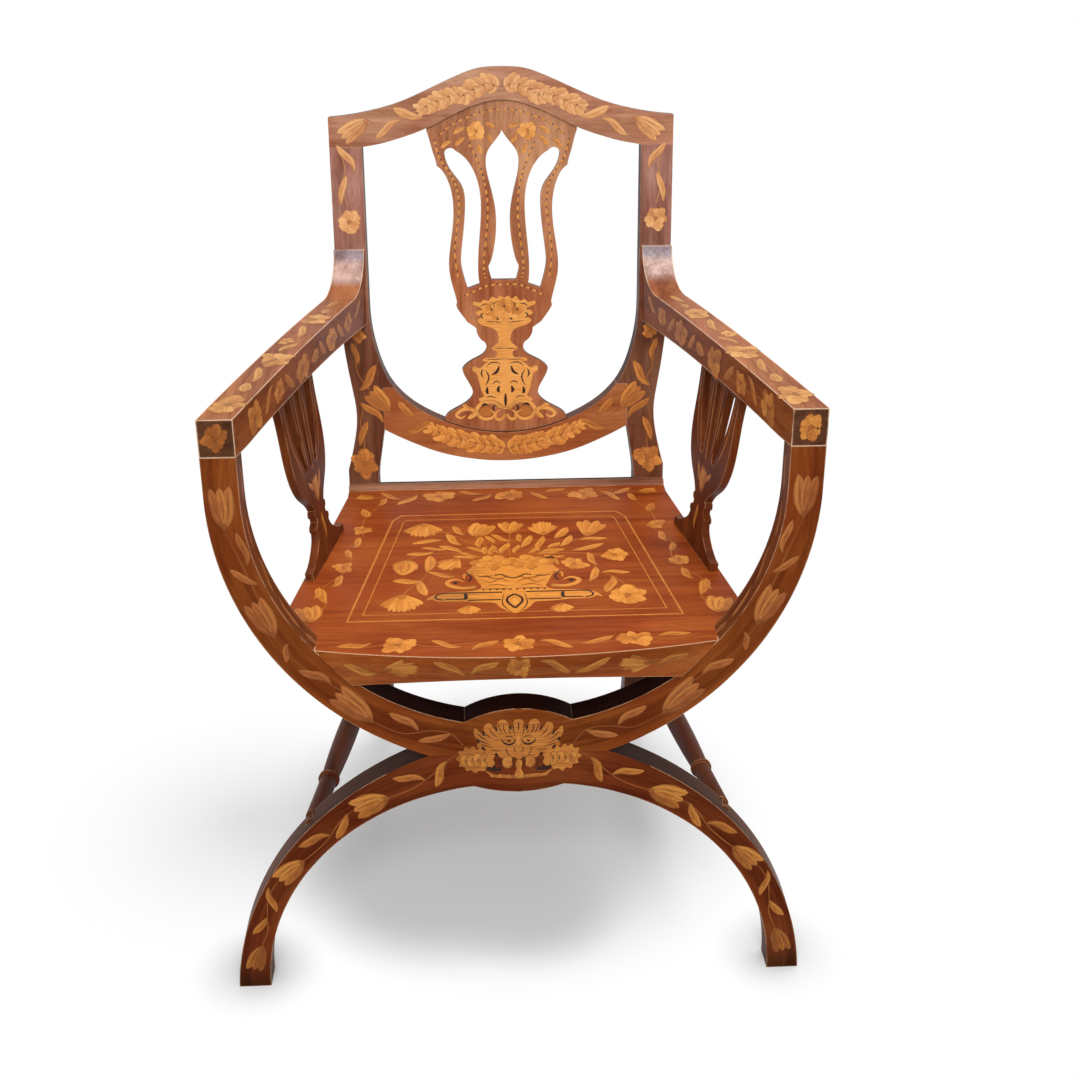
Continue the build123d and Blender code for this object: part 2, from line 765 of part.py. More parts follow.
with BuildPart() as rear_post_right:
    add(rear_post_blank.part)
    with BuildSketch(crest_joint):
        with Locations((stile_middle_x, 0)):
            Rectangle(stile_tenon_width, back_tenon_thickness)
    extrude(amount=stile_tenon_length)
    with BuildSketch(Plane.XY.offset(tenon_foot - mortise_play)):
        with Locations((0, back_y + rear_rail_thickness / 2)):
            Rectangle(
                2 * (rear_leg_inner_x + rail_tenon_length + mortise_end_play),
                rail_tenon_thickness + 2 * mortise_play,
            )
    extrude(amount=tenon_height + 2 * mortise_play, mode=Mode.SUBTRACT)
    add(side_rail_mortises.part, mode=Mode.SUBTRACT)
    add(stretcher_mortises.part, mode=Mode.SUBTRACT)
    add(shield_mortise.part, mode=Mode.SUBTRACT)
    add(arm_screw_shape(glue_line), mode=Mode.SUBTRACT)


def crest_top(across, rise):
    """Point on the crest's top, as shares of its half width and of its rise."""
    low = stile_shoulder + crest_end_height
    return (back_half_width * across, low + (crest_apex - low) * rise)


def crest_foot(across, rise):
    """Point on the crest's lower edge, as shares of its opening and of its rise."""
    high = crest_apex - crest_waist
    return (stile_inner_x * across, stile_shoulder + (high - stile_shoulder) * rise)


with BuildPart() as crest_blank:
    with BuildSketch(back_plane):
        with BuildLine():
            Polyline(
                (stile_inner_x, stile_shoulder),
                (back_half_width, stile_shoulder),
                (back_half_width, stile_shoulder + crest_end_height),
            )
            Spline(
                (back_half_width, stile_shoulder + crest_end_height),
                crest_top(0.804, 0.09),
                crest_top(0.603, 0.275),
                crest_top(0.406, 0.575),
                crest_top(0.21, 0.882),
                (0, crest_apex),
                tangents=[(-1, 0.06), (-1, 0)],
            )
            Spline(
                (0, crest_apex - crest_waist),
                crest_foot(0.169, 0.911),
                crest_foot(0.343, 0.693),
                crest_foot(0.551, 0.377),
                crest_foot(0.77, 0.149),
                (stile_inner_x, stile_shoulder),
                tangents=[(1, 0), (1, -0.15)],
            )
            mirror(about=Plane.YZ)
        make_face()
    extrude(amount=-back_thickness)

with BuildPart() as shield_blank:
    with BuildSketch(back_plane):
        with BuildLine():
            Spline(
                (0, shield_dip),
                (56, 82.5),
                (107, 104),
                (shield_joint_inner_x, shield_joint_top),
                tangents=[(1, 0), shield_turn],
            )
            Polyline(
                (shield_joint_inner_x, shield_joint_top),
                (shield_joint_x, shield_joint_top),
                (shield_joint_x, shield_joint_foot),
            )
            Spline(
                (shield_joint_x, shield_joint_foot),
                (130, 64.5),
                (92, 49),
                (46, 38.5),
                (0, shield_dip - shield_depth),
                tangents=[(-1, -0.6), (-1, 0)],
            )
            mirror(about=Plane.YZ)
        make_face()
    extrude(amount=-back_thickness)

tongue_plane = back_plane.offset(-splat_setback)
tongue_foot = shield_dip - splat_tongue_length
tongue_top = crest_apex - crest_waist + splat_tongue_length

with BuildPart() as splat_tongues:
    with BuildSketch(tongue_plane):
        with Locations((0, tongue_foot)):
            Rectangle(
                2 * splat_tongue_half_width,
                2 * splat_tongue_length,
                align=(Align.CENTER, Align.MIN),
            )
        with Locations((0, tongue_top)):
            Rectangle(
                2 * splat_tongue_half_width,
                3 * splat_tongue_length,
                align=(Align.CENTER, Align.MAX),
            )
    extrude(amount=-splat_thickness)

with BuildPart() as splat_mortises:
    with BuildSketch(tongue_plane.offset(mortise_play)):
        with Locations((0, tongue_foot - mortise_end_play)):
            Rectangle(
                2 * (splat_tongue_half_width + mortise_play),
                3 * splat_tongue_length,
                align=(Align.CENTER, Align.MIN),
            )
        with Locations((0, tongue_top + mortise_end_play)):
            Rectangle(
                2 * (splat_tongue_half_width + mortise_play),
                4 * splat_tongue_length,
                align=(Align.CENTER, Align.MAX),
            )
    extrude(amount=-(splat_thickness + 2 * mortise_play))

def on_splat(out, up):
    """Point of the back splat, as shares of its half width and of its height."""
    return (out * splat_half_width, tongue_foot + up * (tongue_top - tongue_foot))


with BuildPart() as back_splat:
    with BuildSketch(tongue_plane):
        with BuildLine():
            Polyline(
                (0, tongue_top),
                (splat_half_width, stile_shoulder + crest_waist),
                on_splat(1, 0.898),
            )
            Spline(
                on_splat(1, 0.898),
                on_splat(0.922, 0.839),
                on_splat(0.875, 0.801),
                tangents=[(-0.4, -1), (-0.1, -1)],
            )
            Spline(
                on_splat(0.875, 0.801),
                on_splat(0.74, 0.764),
                on_splat(0.667, 0.686),
                on_splat(0.729, 0.563),
                on_splat(0.729, 0.481),
                on_splat(0.651, 0.408),
                on_splat(0.51, 0.351),
                tangents=[(-1, -0.6), (-0.6, -0.8)],
            )
            Line(on_splat(0.51, 0.351), on_splat(0.391, 0.333))
            ThreePointArc(on_splat(0.391, 0.333), on_splat(0.359, 0.307), on_splat(0.281, 0.291))
            ThreePointArc(on_splat(0.281, 0.291), on_splat(0.255, 0.276), on_splat(0.281, 0.26))
            Spline(
                on_splat(0.281, 0.26),
                on_splat(0.411, 0.241),
                on_splat(0.599, 0.21),
                tangents=[(0.7, -1), (0.6, -1)],
            )
            Spline(
                on_splat(0.599, 0.21),
                on_splat(0.521, 0.172),
                on_splat(0.458, 0.137),
                on_splat(0.646, 0.095),
                on_splat(0.854, 0.062),
                tangents=[(-0.2, -1), (0.4, -1)],
            )
            Polyline(on_splat(0.854, 0.062), on_splat(0.854, 0), on_splat(0, 0))
            mirror(about=Plane.YZ)
        make_face()
        with BuildLine():
            Spline(
                on_splat(0, 0.898),
                on_splat(0.182, 0.845),
                on_splat(0.104, 0.682),
                on_splat(0.193, 0.521),
                on_splat(0.167, 0.475),
                tangents=[(0.5, -1), (-0.3, -1)],
            )
            Line(on_splat(0.167, 0.475), on_splat(0, 0.475))
            mirror(about=Plane.YZ)
        make_face(mode=Mode.SUBTRACT)
        with BuildLine():
            ThreePointArc(on_splat(0.625, 0.843), on_splat(0.708, 0.85), on_splat(0.771, 0.836))
            Spline(
                on_splat(0.771, 0.836),
                on_splat(0.536, 0.739),
                on_splat(0.51, 0.682),
                on_splat(0.578, 0.547),
                on_splat(0.5, 0.45),
                tangents=[(-0.1, -1), (-0.3, -1)],
            )
            Line(on_splat(0.5, 0.45), on_splat(0.333, 0.463))
            Spline(
                on_splat(0.333, 0.463),
                on_splat(0.349, 0.521),
                on_splat(0.297, 0.669),
                on_splat(0.344, 0.764),
                on_splat(0.625, 0.843),
                tangents=[(0.2, 1), (1, 0.5)],
            )
        side_slot = make_face(mode=Mode.PRIVATE)
        add(side_slot, mode=Mode.SUBTRACT)
        mirror(side_slot, about=Plane.YZ, mode=Mode.SUBTRACT)
    extrude(amount=-splat_thickness)
    add(crest_blank.part, mode=Mode.SUBTRACT)
    add(shield_blank.part, mode=Mode.SUBTRACT)
    add(splat_tongues.part)

with BuildPart() as crest_rail:
    add(crest_blank.part)
    add(splat_mortises.part, mode=Mode.SUBTRACT)
    with BuildSketch(crest_joint):
        with Locations((stile_middle_x, 0), (-stile_middle_x, 0)):
            Rectangle(
                stile_tenon_width + 2 * mortise_play, back_tenon_thickness + 2 * mortise_play
            )
    extrude(amount=stile_tenon_length + mortise_end_play, mode=Mode.SUBTRACT)

with BuildPart() as shield_rail:
    add(shield_blank.part)
    add(splat_mortises.part, mode=Mode.SUBTRACT)
    with BuildSketch(tenon_plane):
        for side in (-1, 1):
            with Locations((side * shield_joint_x, (shield_joint_foot + shield_joint_top) / 2)):
                Rectangle(
                    2 * shield_tenon_length,
                    shield_joint_top - shield_joint_foot - 2 * shield_tenon_margin,
                )
    extrude(amount=-back_tenon_thickness)

# ======================================================================================
# Arms: from the front posts back to the stiles, with a ramp up each stile
# ======================================================================================
arm_rear_up = (arm_underside - seat_height) / cos(rake)
arm_ramp_height = arm_underside + arm_thickness + arm_ramp_rise
arm_tip_up = (arm_ramp_height - seat_height) / cos(rake)
arm_rear_y = raked(arm_tip_up, 0)[0]
arm_ramp_y = arm_rear_y - arm_tip_thickness - arm_ramp_radius
arm_arch_y = (frame_back_y + raked(arm_rear_up, 0)[0]) / 2

with BuildPart() as arm_right:
    with BuildSketch(Plane.YZ):
        with BuildLine():
            Line((front_y, arm_underside), (frame_back_y, arm_underside))
            ThreePointArc(
                (frame_back_y, arm_underside),
                (arm_arch_y, arm_underside + arm_arch),
                raked(arm_rear_up, 0),
            )
            Polyline(
                raked(arm_rear_up, 0),
                raked(arm_tip_up, 0),
                (arm_ramp_y + arm_ramp_radius, arm_ramp_height),
            )
            RadiusArc(
                (arm_ramp_y + arm_ramp_radius, arm_ramp_height),
                (arm_ramp_y, arm_ramp_height - arm_ramp_radius),
                arm_ramp_radius,
            )
            ThreePointArc(
                (arm_ramp_y, arm_ramp_height - arm_ramp_radius),
                (arm_arch_y, arm_underside + arm_thickness + arm_arch),
                (front_y, arm_underside + arm_thickness),
            )
            Line((front_y, arm_underside + arm_thickness), (front_y, arm_underside))
        make_face()
    extrude(amount=frame_half_width + overcut)
    with BuildSketch(Plane.XY.offset(arm_underside - overcut)):
        with BuildLine():
            Polyline(
                (post_inner_x, front_y),
                (frame_half_width, front_y),
                (back_half_width, arm_rear_y),
                (back_half_width - arm_rear_width, arm_rear_y),
                close=True,
            )
        make_face()
    extrude(amount=arm_ramp_height - arm_underside + 2 * overcut, mode=Mode.INTERSECT)
    with BuildSketch(Plane.XY.offset(arm_underside)):
        with Locations((arm_tenon_x, frame_middle_y)):
            Rectangle(arm_tenon_width + 2 * mortise_play, arm_tenon_depth + 2 * mortise_play)
    extrude(amount=arm_tenon_length + mortise_end_play, mode=Mode.SUBTRACT)
    add(arm_splat_mortises.part, mode=Mode.SUBTRACT)
    add(arm_screw_shape(groove_play), mode=Mode.SUBTRACT)

with BuildPart() as arm_screws:
    add(arm_screw_shape(0))
    mirror(about=Plane.YZ)

# ======================================================================================
# Turned side stretchers
# ======================================================================================
ring_start = stretcher_ring_offset - stretcher_ring_width / 2
ring_end = stretcher_ring_offset + stretcher_ring_width / 2
turning = Plane(
    origin=stretcher_start, x_dir=stretcher_run, z_dir=stretcher_run.cross(Vector(0, 0, 1))
)

with BuildPart() as side_stretcher_right:
    with BuildSketch(turning):
        with BuildLine():
            Polyline(
                (stretcher_length / 2, 0),
                (-overcut / 2, 0),
                (-overcut / 2, stretcher_neck_radius),
                (ring_start, stretcher_neck_radius),
                (ring_start + stretcher_ring_bevel, stretcher_ring_radius),
                (ring_end - stretcher_ring_bevel, stretcher_ring_radius),
                (ring_end, stretcher_neck_radius),
            )
            Spline(
                (ring_end, stretcher_neck_radius),
                (stretcher_length / 2, stretcher_belly_radius),
                (stretcher_length - ring_end, stretcher_neck_radius),
            )
            Polyline(
                (stretcher_length - ring_end, stretcher_neck_radius),
                (stretcher_length - ring_end + stretcher_ring_bevel, stretcher_ring_radius),
                (stretcher_length - ring_start - stretcher_ring_bevel, stretcher_ring_radius),
                (stretcher_length - ring_start, stretcher_neck_radius),
                (stretcher_length + overcut / 2, stretcher_neck_radius),
                (stretcher_length + overcut / 2, 0),
                (stretcher_length / 2, 0),
            )
        make_face()
    revolve(axis=Axis(stretcher_start, stretcher_run))
    with BuildSketch(Plane.XZ.offset(-frame_back_y)):
        with Locations(stretcher_front):
            Rectangle(4 * overcut, 4 * overcut)
    extrude(amount=2 * overcut, mode=Mode.SUBTRACT)
    add(rear_post_blank.part, mode=Mode.SUBTRACT)
    with BuildSketch(stretcher_base.offset(-stretcher_tenon_length)):
        Circle(stretcher_tenon_radius)
    extrude(amount=stretcher_length + 2 * stretcher_tenon_length)

# ======================================================================================
# Left-hand pieces mirror the right-hand ones
# ======================================================================================
with BuildPart() as front_post_left:
    mirror(front_post_right.part, about=Plane.YZ)
with BuildPart() as front_leg_left:
    mirror(front_leg_right.part, about=Plane.YZ)
with BuildPart() as side_rail_left:
    mirror(side_rail_right.part, about=Plane.YZ)
with BuildPart() as corner_block_front_left:
    mirror(corner_block_front_right.part, about=Plane.YZ)
with BuildPart() as corner_block_rear_left:
    mirror(corner_block_rear_right.part, about=Plane.YZ)
with BuildPart() as rear_post_left:
    mirror(rear_post_right.part, about=Plane.YZ)
with BuildPart() as arm_left:
    mirror(arm_right.part, about=Plane.YZ)
with BuildPart() as arm_splat_left:
    mirror(arm_splat_right.part, about=Plane.YZ)
with BuildPart() as side_stretcher_left:
    mirror(side_stretcher_right.part, about=Plane.YZ)

pieces = {
    "front_post_right": front_post_right,
    "front_post_left": front_post_left,
    "front_leg_right": front_leg_right,
    "front_leg_left": front_leg_left,
    "frame_dowels": frame_dowels,
    "front_rail": front_rail,
    "side_rail_right": side_rail_right,
    "side_rail_left": side_rail_left,
    "rear_rail": rear_rail,
    "corner_block_front_right": corner_block_front_right,
    "corner_block_front_left": corner_block_front_left,
    "corner_block_rear_right": corner_block_rear_right,
    "corner_block_rear_left": corner_block_rear_left,
    "seat_screws": seat_screws,
    "seat_board": seat_board,
    "seat_inlay_line": seat_inlay_line,
    "seat_inlay_fine_line": seat_inlay_fine_line,
    "seat_bead": seat_bead,
    "rear_post_right": rear_post_right,
    "rear_post_left": rear_post_left,
    "crest_rail": crest_rail,
    "shield_rail": shield_rail,
    "back_splat": back_splat,
    "arm_right": arm_right,
    "arm_left": arm_left,
    "arm_screws": arm_screws,
    "arm_splat_right": arm_splat_right,
    "arm_splat_left": arm_splat_left,
    "side_stretcher_right": side_stretcher_right,
    "side_stretcher_left": side_stretcher_left,
}

os.makedirs("parts", exist_ok=True)
for name, piece in pieces.items():
    piece.part.label = name
    export_step(piece.part, f"parts/{name}.step")
    print(name, round(piece.part.volume), len(piece.part.solids()))
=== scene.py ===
import logging
import math
import random
from abc import ABC, abstractmethod
from collections.abc import Iterator, Sequence
from dataclasses import dataclass
from enum import Enum
from typing import NamedTuple

import bmesh
import bpy
from mathutils import Matrix, Vector


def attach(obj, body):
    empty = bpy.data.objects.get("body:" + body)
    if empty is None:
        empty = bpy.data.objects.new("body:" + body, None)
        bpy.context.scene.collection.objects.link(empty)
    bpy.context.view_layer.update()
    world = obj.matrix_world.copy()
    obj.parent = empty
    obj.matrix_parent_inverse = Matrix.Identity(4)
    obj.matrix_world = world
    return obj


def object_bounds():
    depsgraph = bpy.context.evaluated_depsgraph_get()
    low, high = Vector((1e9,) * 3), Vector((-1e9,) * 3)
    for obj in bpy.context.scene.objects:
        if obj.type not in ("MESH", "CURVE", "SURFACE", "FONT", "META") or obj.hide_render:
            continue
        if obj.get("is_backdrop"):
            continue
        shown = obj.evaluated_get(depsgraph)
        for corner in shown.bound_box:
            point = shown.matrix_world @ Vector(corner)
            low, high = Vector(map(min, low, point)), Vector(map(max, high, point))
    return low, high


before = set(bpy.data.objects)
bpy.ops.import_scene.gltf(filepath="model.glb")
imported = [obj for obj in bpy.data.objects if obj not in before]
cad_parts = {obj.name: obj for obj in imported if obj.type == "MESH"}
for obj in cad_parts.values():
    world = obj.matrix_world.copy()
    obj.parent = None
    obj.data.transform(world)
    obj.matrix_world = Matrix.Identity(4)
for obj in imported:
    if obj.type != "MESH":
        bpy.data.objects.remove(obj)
cad_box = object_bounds()

log = logging.getLogger("chair")
MM = 0.001
LEVEL_MM = 0.05  # a piece of veneer stands this much above the one that it lies on
STAGGER_MM = 0.0035  # pieces of one level differ by steps of this, so that no two share a plane
STAGGERS = 13
STEM_MM = 1.2
THINNEST_MM = 0.55  # real lines are finer than this, but then they would not show
SAWN_RIM_MM = 0.45  # the darker edge of a piece with a free outline
CUT_GRAIN_MM = (100.0, 14.0)  # one turn of the grain across and up such a piece
CUT_GRAIN_START = 0.6  # clear of the scorched root, which is at 0
WIDE_ROSE_MM = 24  # a rose wider than this has a sixth petal
STEEPEST = 1.5  # where the ramp of an arm stops turning upright, in radians
Point = tuple[float, float]
Triple = tuple[float, float, float]
Material = bpy.types.Material
Tree = bpy.types.NodeTree
Source = bpy.types.Node | bpy.types.NodeSocket
RIGHTWARD, BACKWARD, UPWARD = Vector((1, 0, 0)), Vector((0, 1, 0)), Vector((0, 0, 1))


# ---- colour and shader helpers -----------------------------------------------------------
def linear(colour: str) -> tuple[float, float, float, float]:
    """Turns an sRGB hex colour to linear light.

    Args:
        colour: "#rrggbb".

    Returns:
        Red, green, blue and an alpha of 1.
    """
    parts = [int(colour[i : i + 2], 16) / 255 for i in (1, 3, 5)]
    parts = [c / 12.92 if c <= 0.04045 else ((c + 0.055) / 1.055) ** 2.4 for c in parts]
    return (parts[0], parts[1], parts[2], 1.0)


def feed(tree: Tree, node: bpy.types.Node, **given: object) -> None:
    """Gives a node its settings, constants and links.

    Args:
        tree: The tree that holds the node.
        node: The node.
        **given: A name in small letters is a setting, such as operation. A capitalised one is a
            socket, and in_0 a socket by number: a socket is linked to it, a node by its first
            output, and any other value is set.
    """
    for name, value in given.items():
        if hasattr(node, name):
            setattr(node, name, value)
            continue
        goal = node.inputs[int(name[3:]) if name.startswith("in_") else name.replace("_", " ")]
        if isinstance(value, bpy.types.Node):
            value = value.outputs[0]
        if isinstance(value, bpy.types.NodeSocket):
            tree.links.new(value, goal)
        else:
            goal.default_value = value


def add_node(tree: Tree, kind: str, **given: object) -> bpy.types.Node:
    """Adds one node with its settings, constants and links.

    Args:
        tree: The tree that gets the node.
        kind: The node's type without its ShaderNode prefix.
        **given: Its settings and inputs, as feed takes them.

    Returns:
        The new node.
    """
    node = tree.nodes.new("ShaderNode" + kind)
    feed(tree, node, **given)
    return node


def set_ramp(node: bpy.types.Node, stops: list[tuple[float, str]]) -> None:
    """Gives a colour ramp its stops.

    Args:
        node: The ramp.
        stops: Places from 0 to 1 with their sRGB hex colours.
    """
    ramp = node.color_ramp
    while len(ramp.elements) < len(stops):
        ramp.elements.new(0.5)
    for element, (place, colour) in zip(ramp.elements, stops):
        element.position = place
        element.color = linear(colour)


def new_material(name: str) -> tuple[Material, Tree, bpy.types.Node]:
    """Makes an empty material.

    Args:
        name: The material's name.

    Returns:
        The material, its tree and its shader.
    """
    material = bpy.data.materials.new(name)
    material.use_nodes = True
    tree = material.node_tree
    shader = next(n for n in tree.nodes if n.type == "BSDF_PRINCIPLED")
    return material, tree, shader


# ---- finishes ----------------------------------------------------------------------------
class Grain(Enum):
    """Which way the veneer's grain runs on a piece.

    Three numbers shrink x, y and z where the grain is long. Two are the x and z in millimetres
    of the centre that it runs round.
    """

    ACROSS = (0.07, 1.0, 1.0)
    BACKWARD = (1.0, 0.07, 1.0)
    UPRIGHT = (1.0, 1.0, 0.07)
    POST_CURVE = (3.5, 638.0)
    LEG_CURVE = (21.0, 1.0)


class Face(NamedTuple):
    """A face of a piece that has a colour of its own, coming in between two heights in metres.
    On the arms, stiles and splat that colour is painted sheen and painted reflection.
    """

    toward: Triple
    colour: str
    low: float = -1.0
    high: float = -0.9


class Finish(ABC):
    """What a piece is made of and how its surface was made."""

    @abstractmethod
    def build(self) -> Material:
        """Builds the finish as a material."""


@dataclass(frozen=True)
class MahoganyVeneer(Finish):
    """Knife-cut mahogany under old French polish: red-brown, with soft streaks and fine pores.

    Other faces of the same piece may be older, darker or bare carcase wood, and on the arms,
    stiles and splat they carry painted sheen and painted reflection. Hands and feet have worn
    the arrises down to pale wood, and the pale arrises also stand in for the highlights of
    rounded edges: a painted highlight.

    flank gives the colour of the sides by height in metres: partly their stained wood, partly
    painted shade where they turn under and where they lie low. worn_bands keeps the wear to
    where an axis is within a reach of a centre, in metres.
    """

    name: str
    mid: str
    grain: Grain
    streak: str = "#bcaaa0"
    faces: tuple[Face, ...] = ()
    flank: tuple[tuple[float, str], ...] = ()
    gloss: float = 0.42
    shine: float = 0.12
    worn: float = 0.55
    bare: str = "#c39a78"
    arris_mm: float = 2.0
    spared: float = 0.36
    worn_bands: tuple[tuple[int, float, float], ...] = ()
    figure_mm: float = 26.0
    fine_mm: float = 4.0
    cloud_mm: float = 95.0
    wear_patch_mm: float = 28.0
    # real pores are about 0.2 mm wide, so they are drawn coarser to show at all
    pore_mm: float = 1.1
    # what old polish does to the colour: it reddens in the shade and fades in the sun
    reddened: tuple[float, ...] = (1.0, 0.84, 0.8, 1.0)
    faded: tuple[float, ...] = (1.2, 1.24, 1.24, 1.0)

    def build(self) -> Material:
        """Builds the material.

        Returns:
            The finished material.
        """
        material, tree, shader = new_material(self.name)
        place = add_node(tree, "TexCoord").outputs["Object"]
        normal = add_node(tree, "NewGeometry").outputs["Normal"]
        run = self.along_grain(tree, place)
        figure = add_node(
            tree, "TexNoise", Vector=run, Scale=1 / (self.figure_mm * MM), Detail=4.0,
            Roughness=0.55, Distortion=0.6,
        )
        fine = add_node(tree, "TexNoise", Vector=run, Scale=1 / (self.fine_mm * MM), Detail=3.0)
        pore = add_node(tree, "TexNoise", Vector=run, Scale=1 / (self.pore_mm * MM), Detail=2.0)
        blend = add_node(
            tree, "Math", operation="MULTIPLY_ADD", in_0=fine, in_1=0.4, in_2=figure
        )
        streaks = add_node(tree, "ValToRGB", Fac=blend)
        set_ramp(streaks, [(0.52, self.streak), (0.82, "#ffffff")])
        colour = add_node(
            tree, "MixRGB", blend_type="MULTIPLY", Fac=1.0, Color1=streaks,
            Color2=self.ground_colour(tree, place, normal),
        )
        pores = add_node(
            tree, "MapRange", Value=pore, From_Min=0.34, From_Max=0.46, To_Min=0.78, To_Max=1.0
        )
        cloud = add_node(tree, "TexNoise", Vector=place, Scale=1 / (self.cloud_mm * MM), Detail=2.0)
        sunned = add_node(tree, "MapRange", Value=cloud, From_Min=0.38, From_Max=0.6)
        shade = add_node(tree, "MixRGB", Fac=sunned, Color1=self.reddened, Color2=self.faded)
        shaded = add_node(
            tree, "MixRGB", blend_type="MULTIPLY", Fac=1.0, Color1=colour, Color2=shade
        )
        toned = add_node(tree, "VectorMath", operation="SCALE", in_0=shaded, Scale=pores)
        # pale arrises: worn bare wood, and a painted highlight where rounded edges catch light
        worn_and_highlit = add_node(
            tree, "MixRGB", Fac=self.worn_and_highlit_edges(tree, place, normal), Color1=toned,
            Color2=linear(self.bare),
        )
        haze = add_node(
            tree, "MapRange", Value=cloud, From_Min=0.3, From_Max=0.75,
            To_Min=self.gloss - 0.06, To_Max=self.gloss + 0.12,
        )
        bump = add_node(tree, "Bump", Strength=0.12, Distance=0.0002, Height=pores)
        feed(
            tree, shader, Base_Color=worn_and_highlit, Roughness=haze, Normal=bump,
            Specular_IOR_Level=self.shine,
        )
        return material

    def along_grain(self, tree: Tree, place: Source) -> Source:
        """Stretches object coordinates along the grain, round the curve of a post or leg.

        Args:
            tree: The material's tree.
            place: The object coordinates.

        Returns:
            Coordinates in metres that change slowly along the grain.
        """
        if len(self.grain.value) == 3:
            return add_node(tree, "Mapping", Vector=place, Scale=self.grain.value)
        cx, cz = (value * MM for value in self.grain.value)
        axes = add_node(tree, "SeparateXYZ", Vector=place)
        side = add_node(tree, "Math", operation="ABSOLUTE", in_0=axes)
        dx = add_node(tree, "Math", operation="SUBTRACT", in_0=side, in_1=cx)
        dz = add_node(tree, "Math", operation="SUBTRACT", in_0=axes.outputs[2], in_1=cz)
        turn = add_node(tree, "Math", operation="ARCTAN2", in_0=dz, in_1=dx)
        # a radian of the curve counts for 20 mm, so the streaks are long
        slow = add_node(tree, "Math", operation="MULTIPLY", in_0=turn, in_1=0.02)
        flat = add_node(tree, "CombineXYZ", X=dx, Y=dz)
        out = add_node(tree, "VectorMath", operation="LENGTH", in_0=flat)
        return add_node(
            tree, "CombineXYZ", X=out.outputs["Value"], Y=axes.outputs[1], Z=slow
        )

    def ground_colour(self, tree: Tree, place: Source, normal: Source) -> Source:
        """Gives each face of the piece its own colour: its veneer, its stained sides with painted
        shade by height, and on some pieces painted sheen and painted reflection.

        Args:
            tree: The material's tree.
            place: The object coordinates.
            normal: The surface's direction.

        Returns:
            The colour before its streaks.
        """
        height = add_node(tree, "SeparateXYZ", Vector=place).outputs[2]
        base = add_node(tree, "MixRGB", Fac=0.0, Color1=linear(self.mid))
        if self.flank:
            front = add_node(
                tree, "Math", operation="ABSOLUTE",
                in_0=add_node(tree, "SeparateXYZ", Vector=normal).outputs[1],
            )
            aside = add_node(tree, "MapRange", Value=front, From_Min=0.8, From_Max=0.6)
            # painted shade: the sides darken by height where they turn under and lie low
            stain = add_node(tree, "ValToRGB", Fac=height)
            set_ramp(stain, list(self.flank))
            base = add_node(tree, "MixRGB", Fac=aside, Color1=base, Color2=stain)
        # on some pieces these faces are painted light: a painted sheen or reflection above a height
        for toward, colour, low, high in self.faces:
            facing = add_node(
                tree, "VectorMath", operation="DOT_PRODUCT", in_0=normal, in_1=toward
            )
            above = add_node(tree, "MapRange", Value=height, From_Min=low, From_Max=high)
            share = add_node(
                tree, "MapRange", Value=facing.outputs["Value"], From_Min=0.6, From_Max=0.85,
                To_Max=above,
            )
            base = add_node(tree, "MixRGB", Fac=share, Color1=base, Color2=linear(colour))
        return base

    def worn_and_highlit_edges(self, tree: Tree, place: Source, normal: Source) -> Source:
        """Finds the arrises that wear has left pale, in patches; the pale arrises also stand in for
        the highlights of rounded edges, a painted highlight.

        Args:
            tree: The material's tree.
            place: The object coordinates.
            normal: The surface's direction.

        Returns:
            How pale the surface is at its arrises, from wear and painted highlight, 0 to 1.
        """
        soft = add_node(tree, "Bevel", samples=6, Radius=self.arris_mm * MM)
        bend = add_node(tree, "VectorMath", operation="DOT_PRODUCT", in_0=soft, in_1=normal)
        # cosines: the wear and painted highlight start where the rounded edge turns 13 degrees and
        # are full at 26
        edge = add_node(
            tree, "MapRange", Value=bend.outputs["Value"], From_Min=0.975, From_Max=0.9,
            To_Min=0.0, To_Max=self.worn,
        )
        noise = add_node(
            tree, "TexNoise", Vector=place, Scale=1 / (self.wear_patch_mm * MM), Detail=3.0
        )
        patch = add_node(
            tree, "MapRange", Value=noise, From_Min=self.spared, From_Max=self.spared + 0.2
        )
        axes = add_node(tree, "SeparateXYZ", Vector=place)
        for axis, centre, reach in self.worn_bands:
            band = add_node(
                tree, "Math", operation="COMPARE", in_0=axes.outputs[axis], in_1=centre,
                in_2=reach,
            )
            edge = add_node(tree, "Math", operation="MULTIPLY", in_0=edge, in_1=band)
        # the seam in the middle of the chair stays unworn and without painted highlight
        side = add_node(tree, "Math", operation="ABSOLUTE", in_0=axes)
        open_edge = add_node(
            tree, "MapRange", Value=side, From_Min=2 * MM, From_Max=5 * MM, To_Max=edge
        )
        return add_node(tree, "Math", operation="MULTIPLY", in_0=open_edge, in_1=patch)


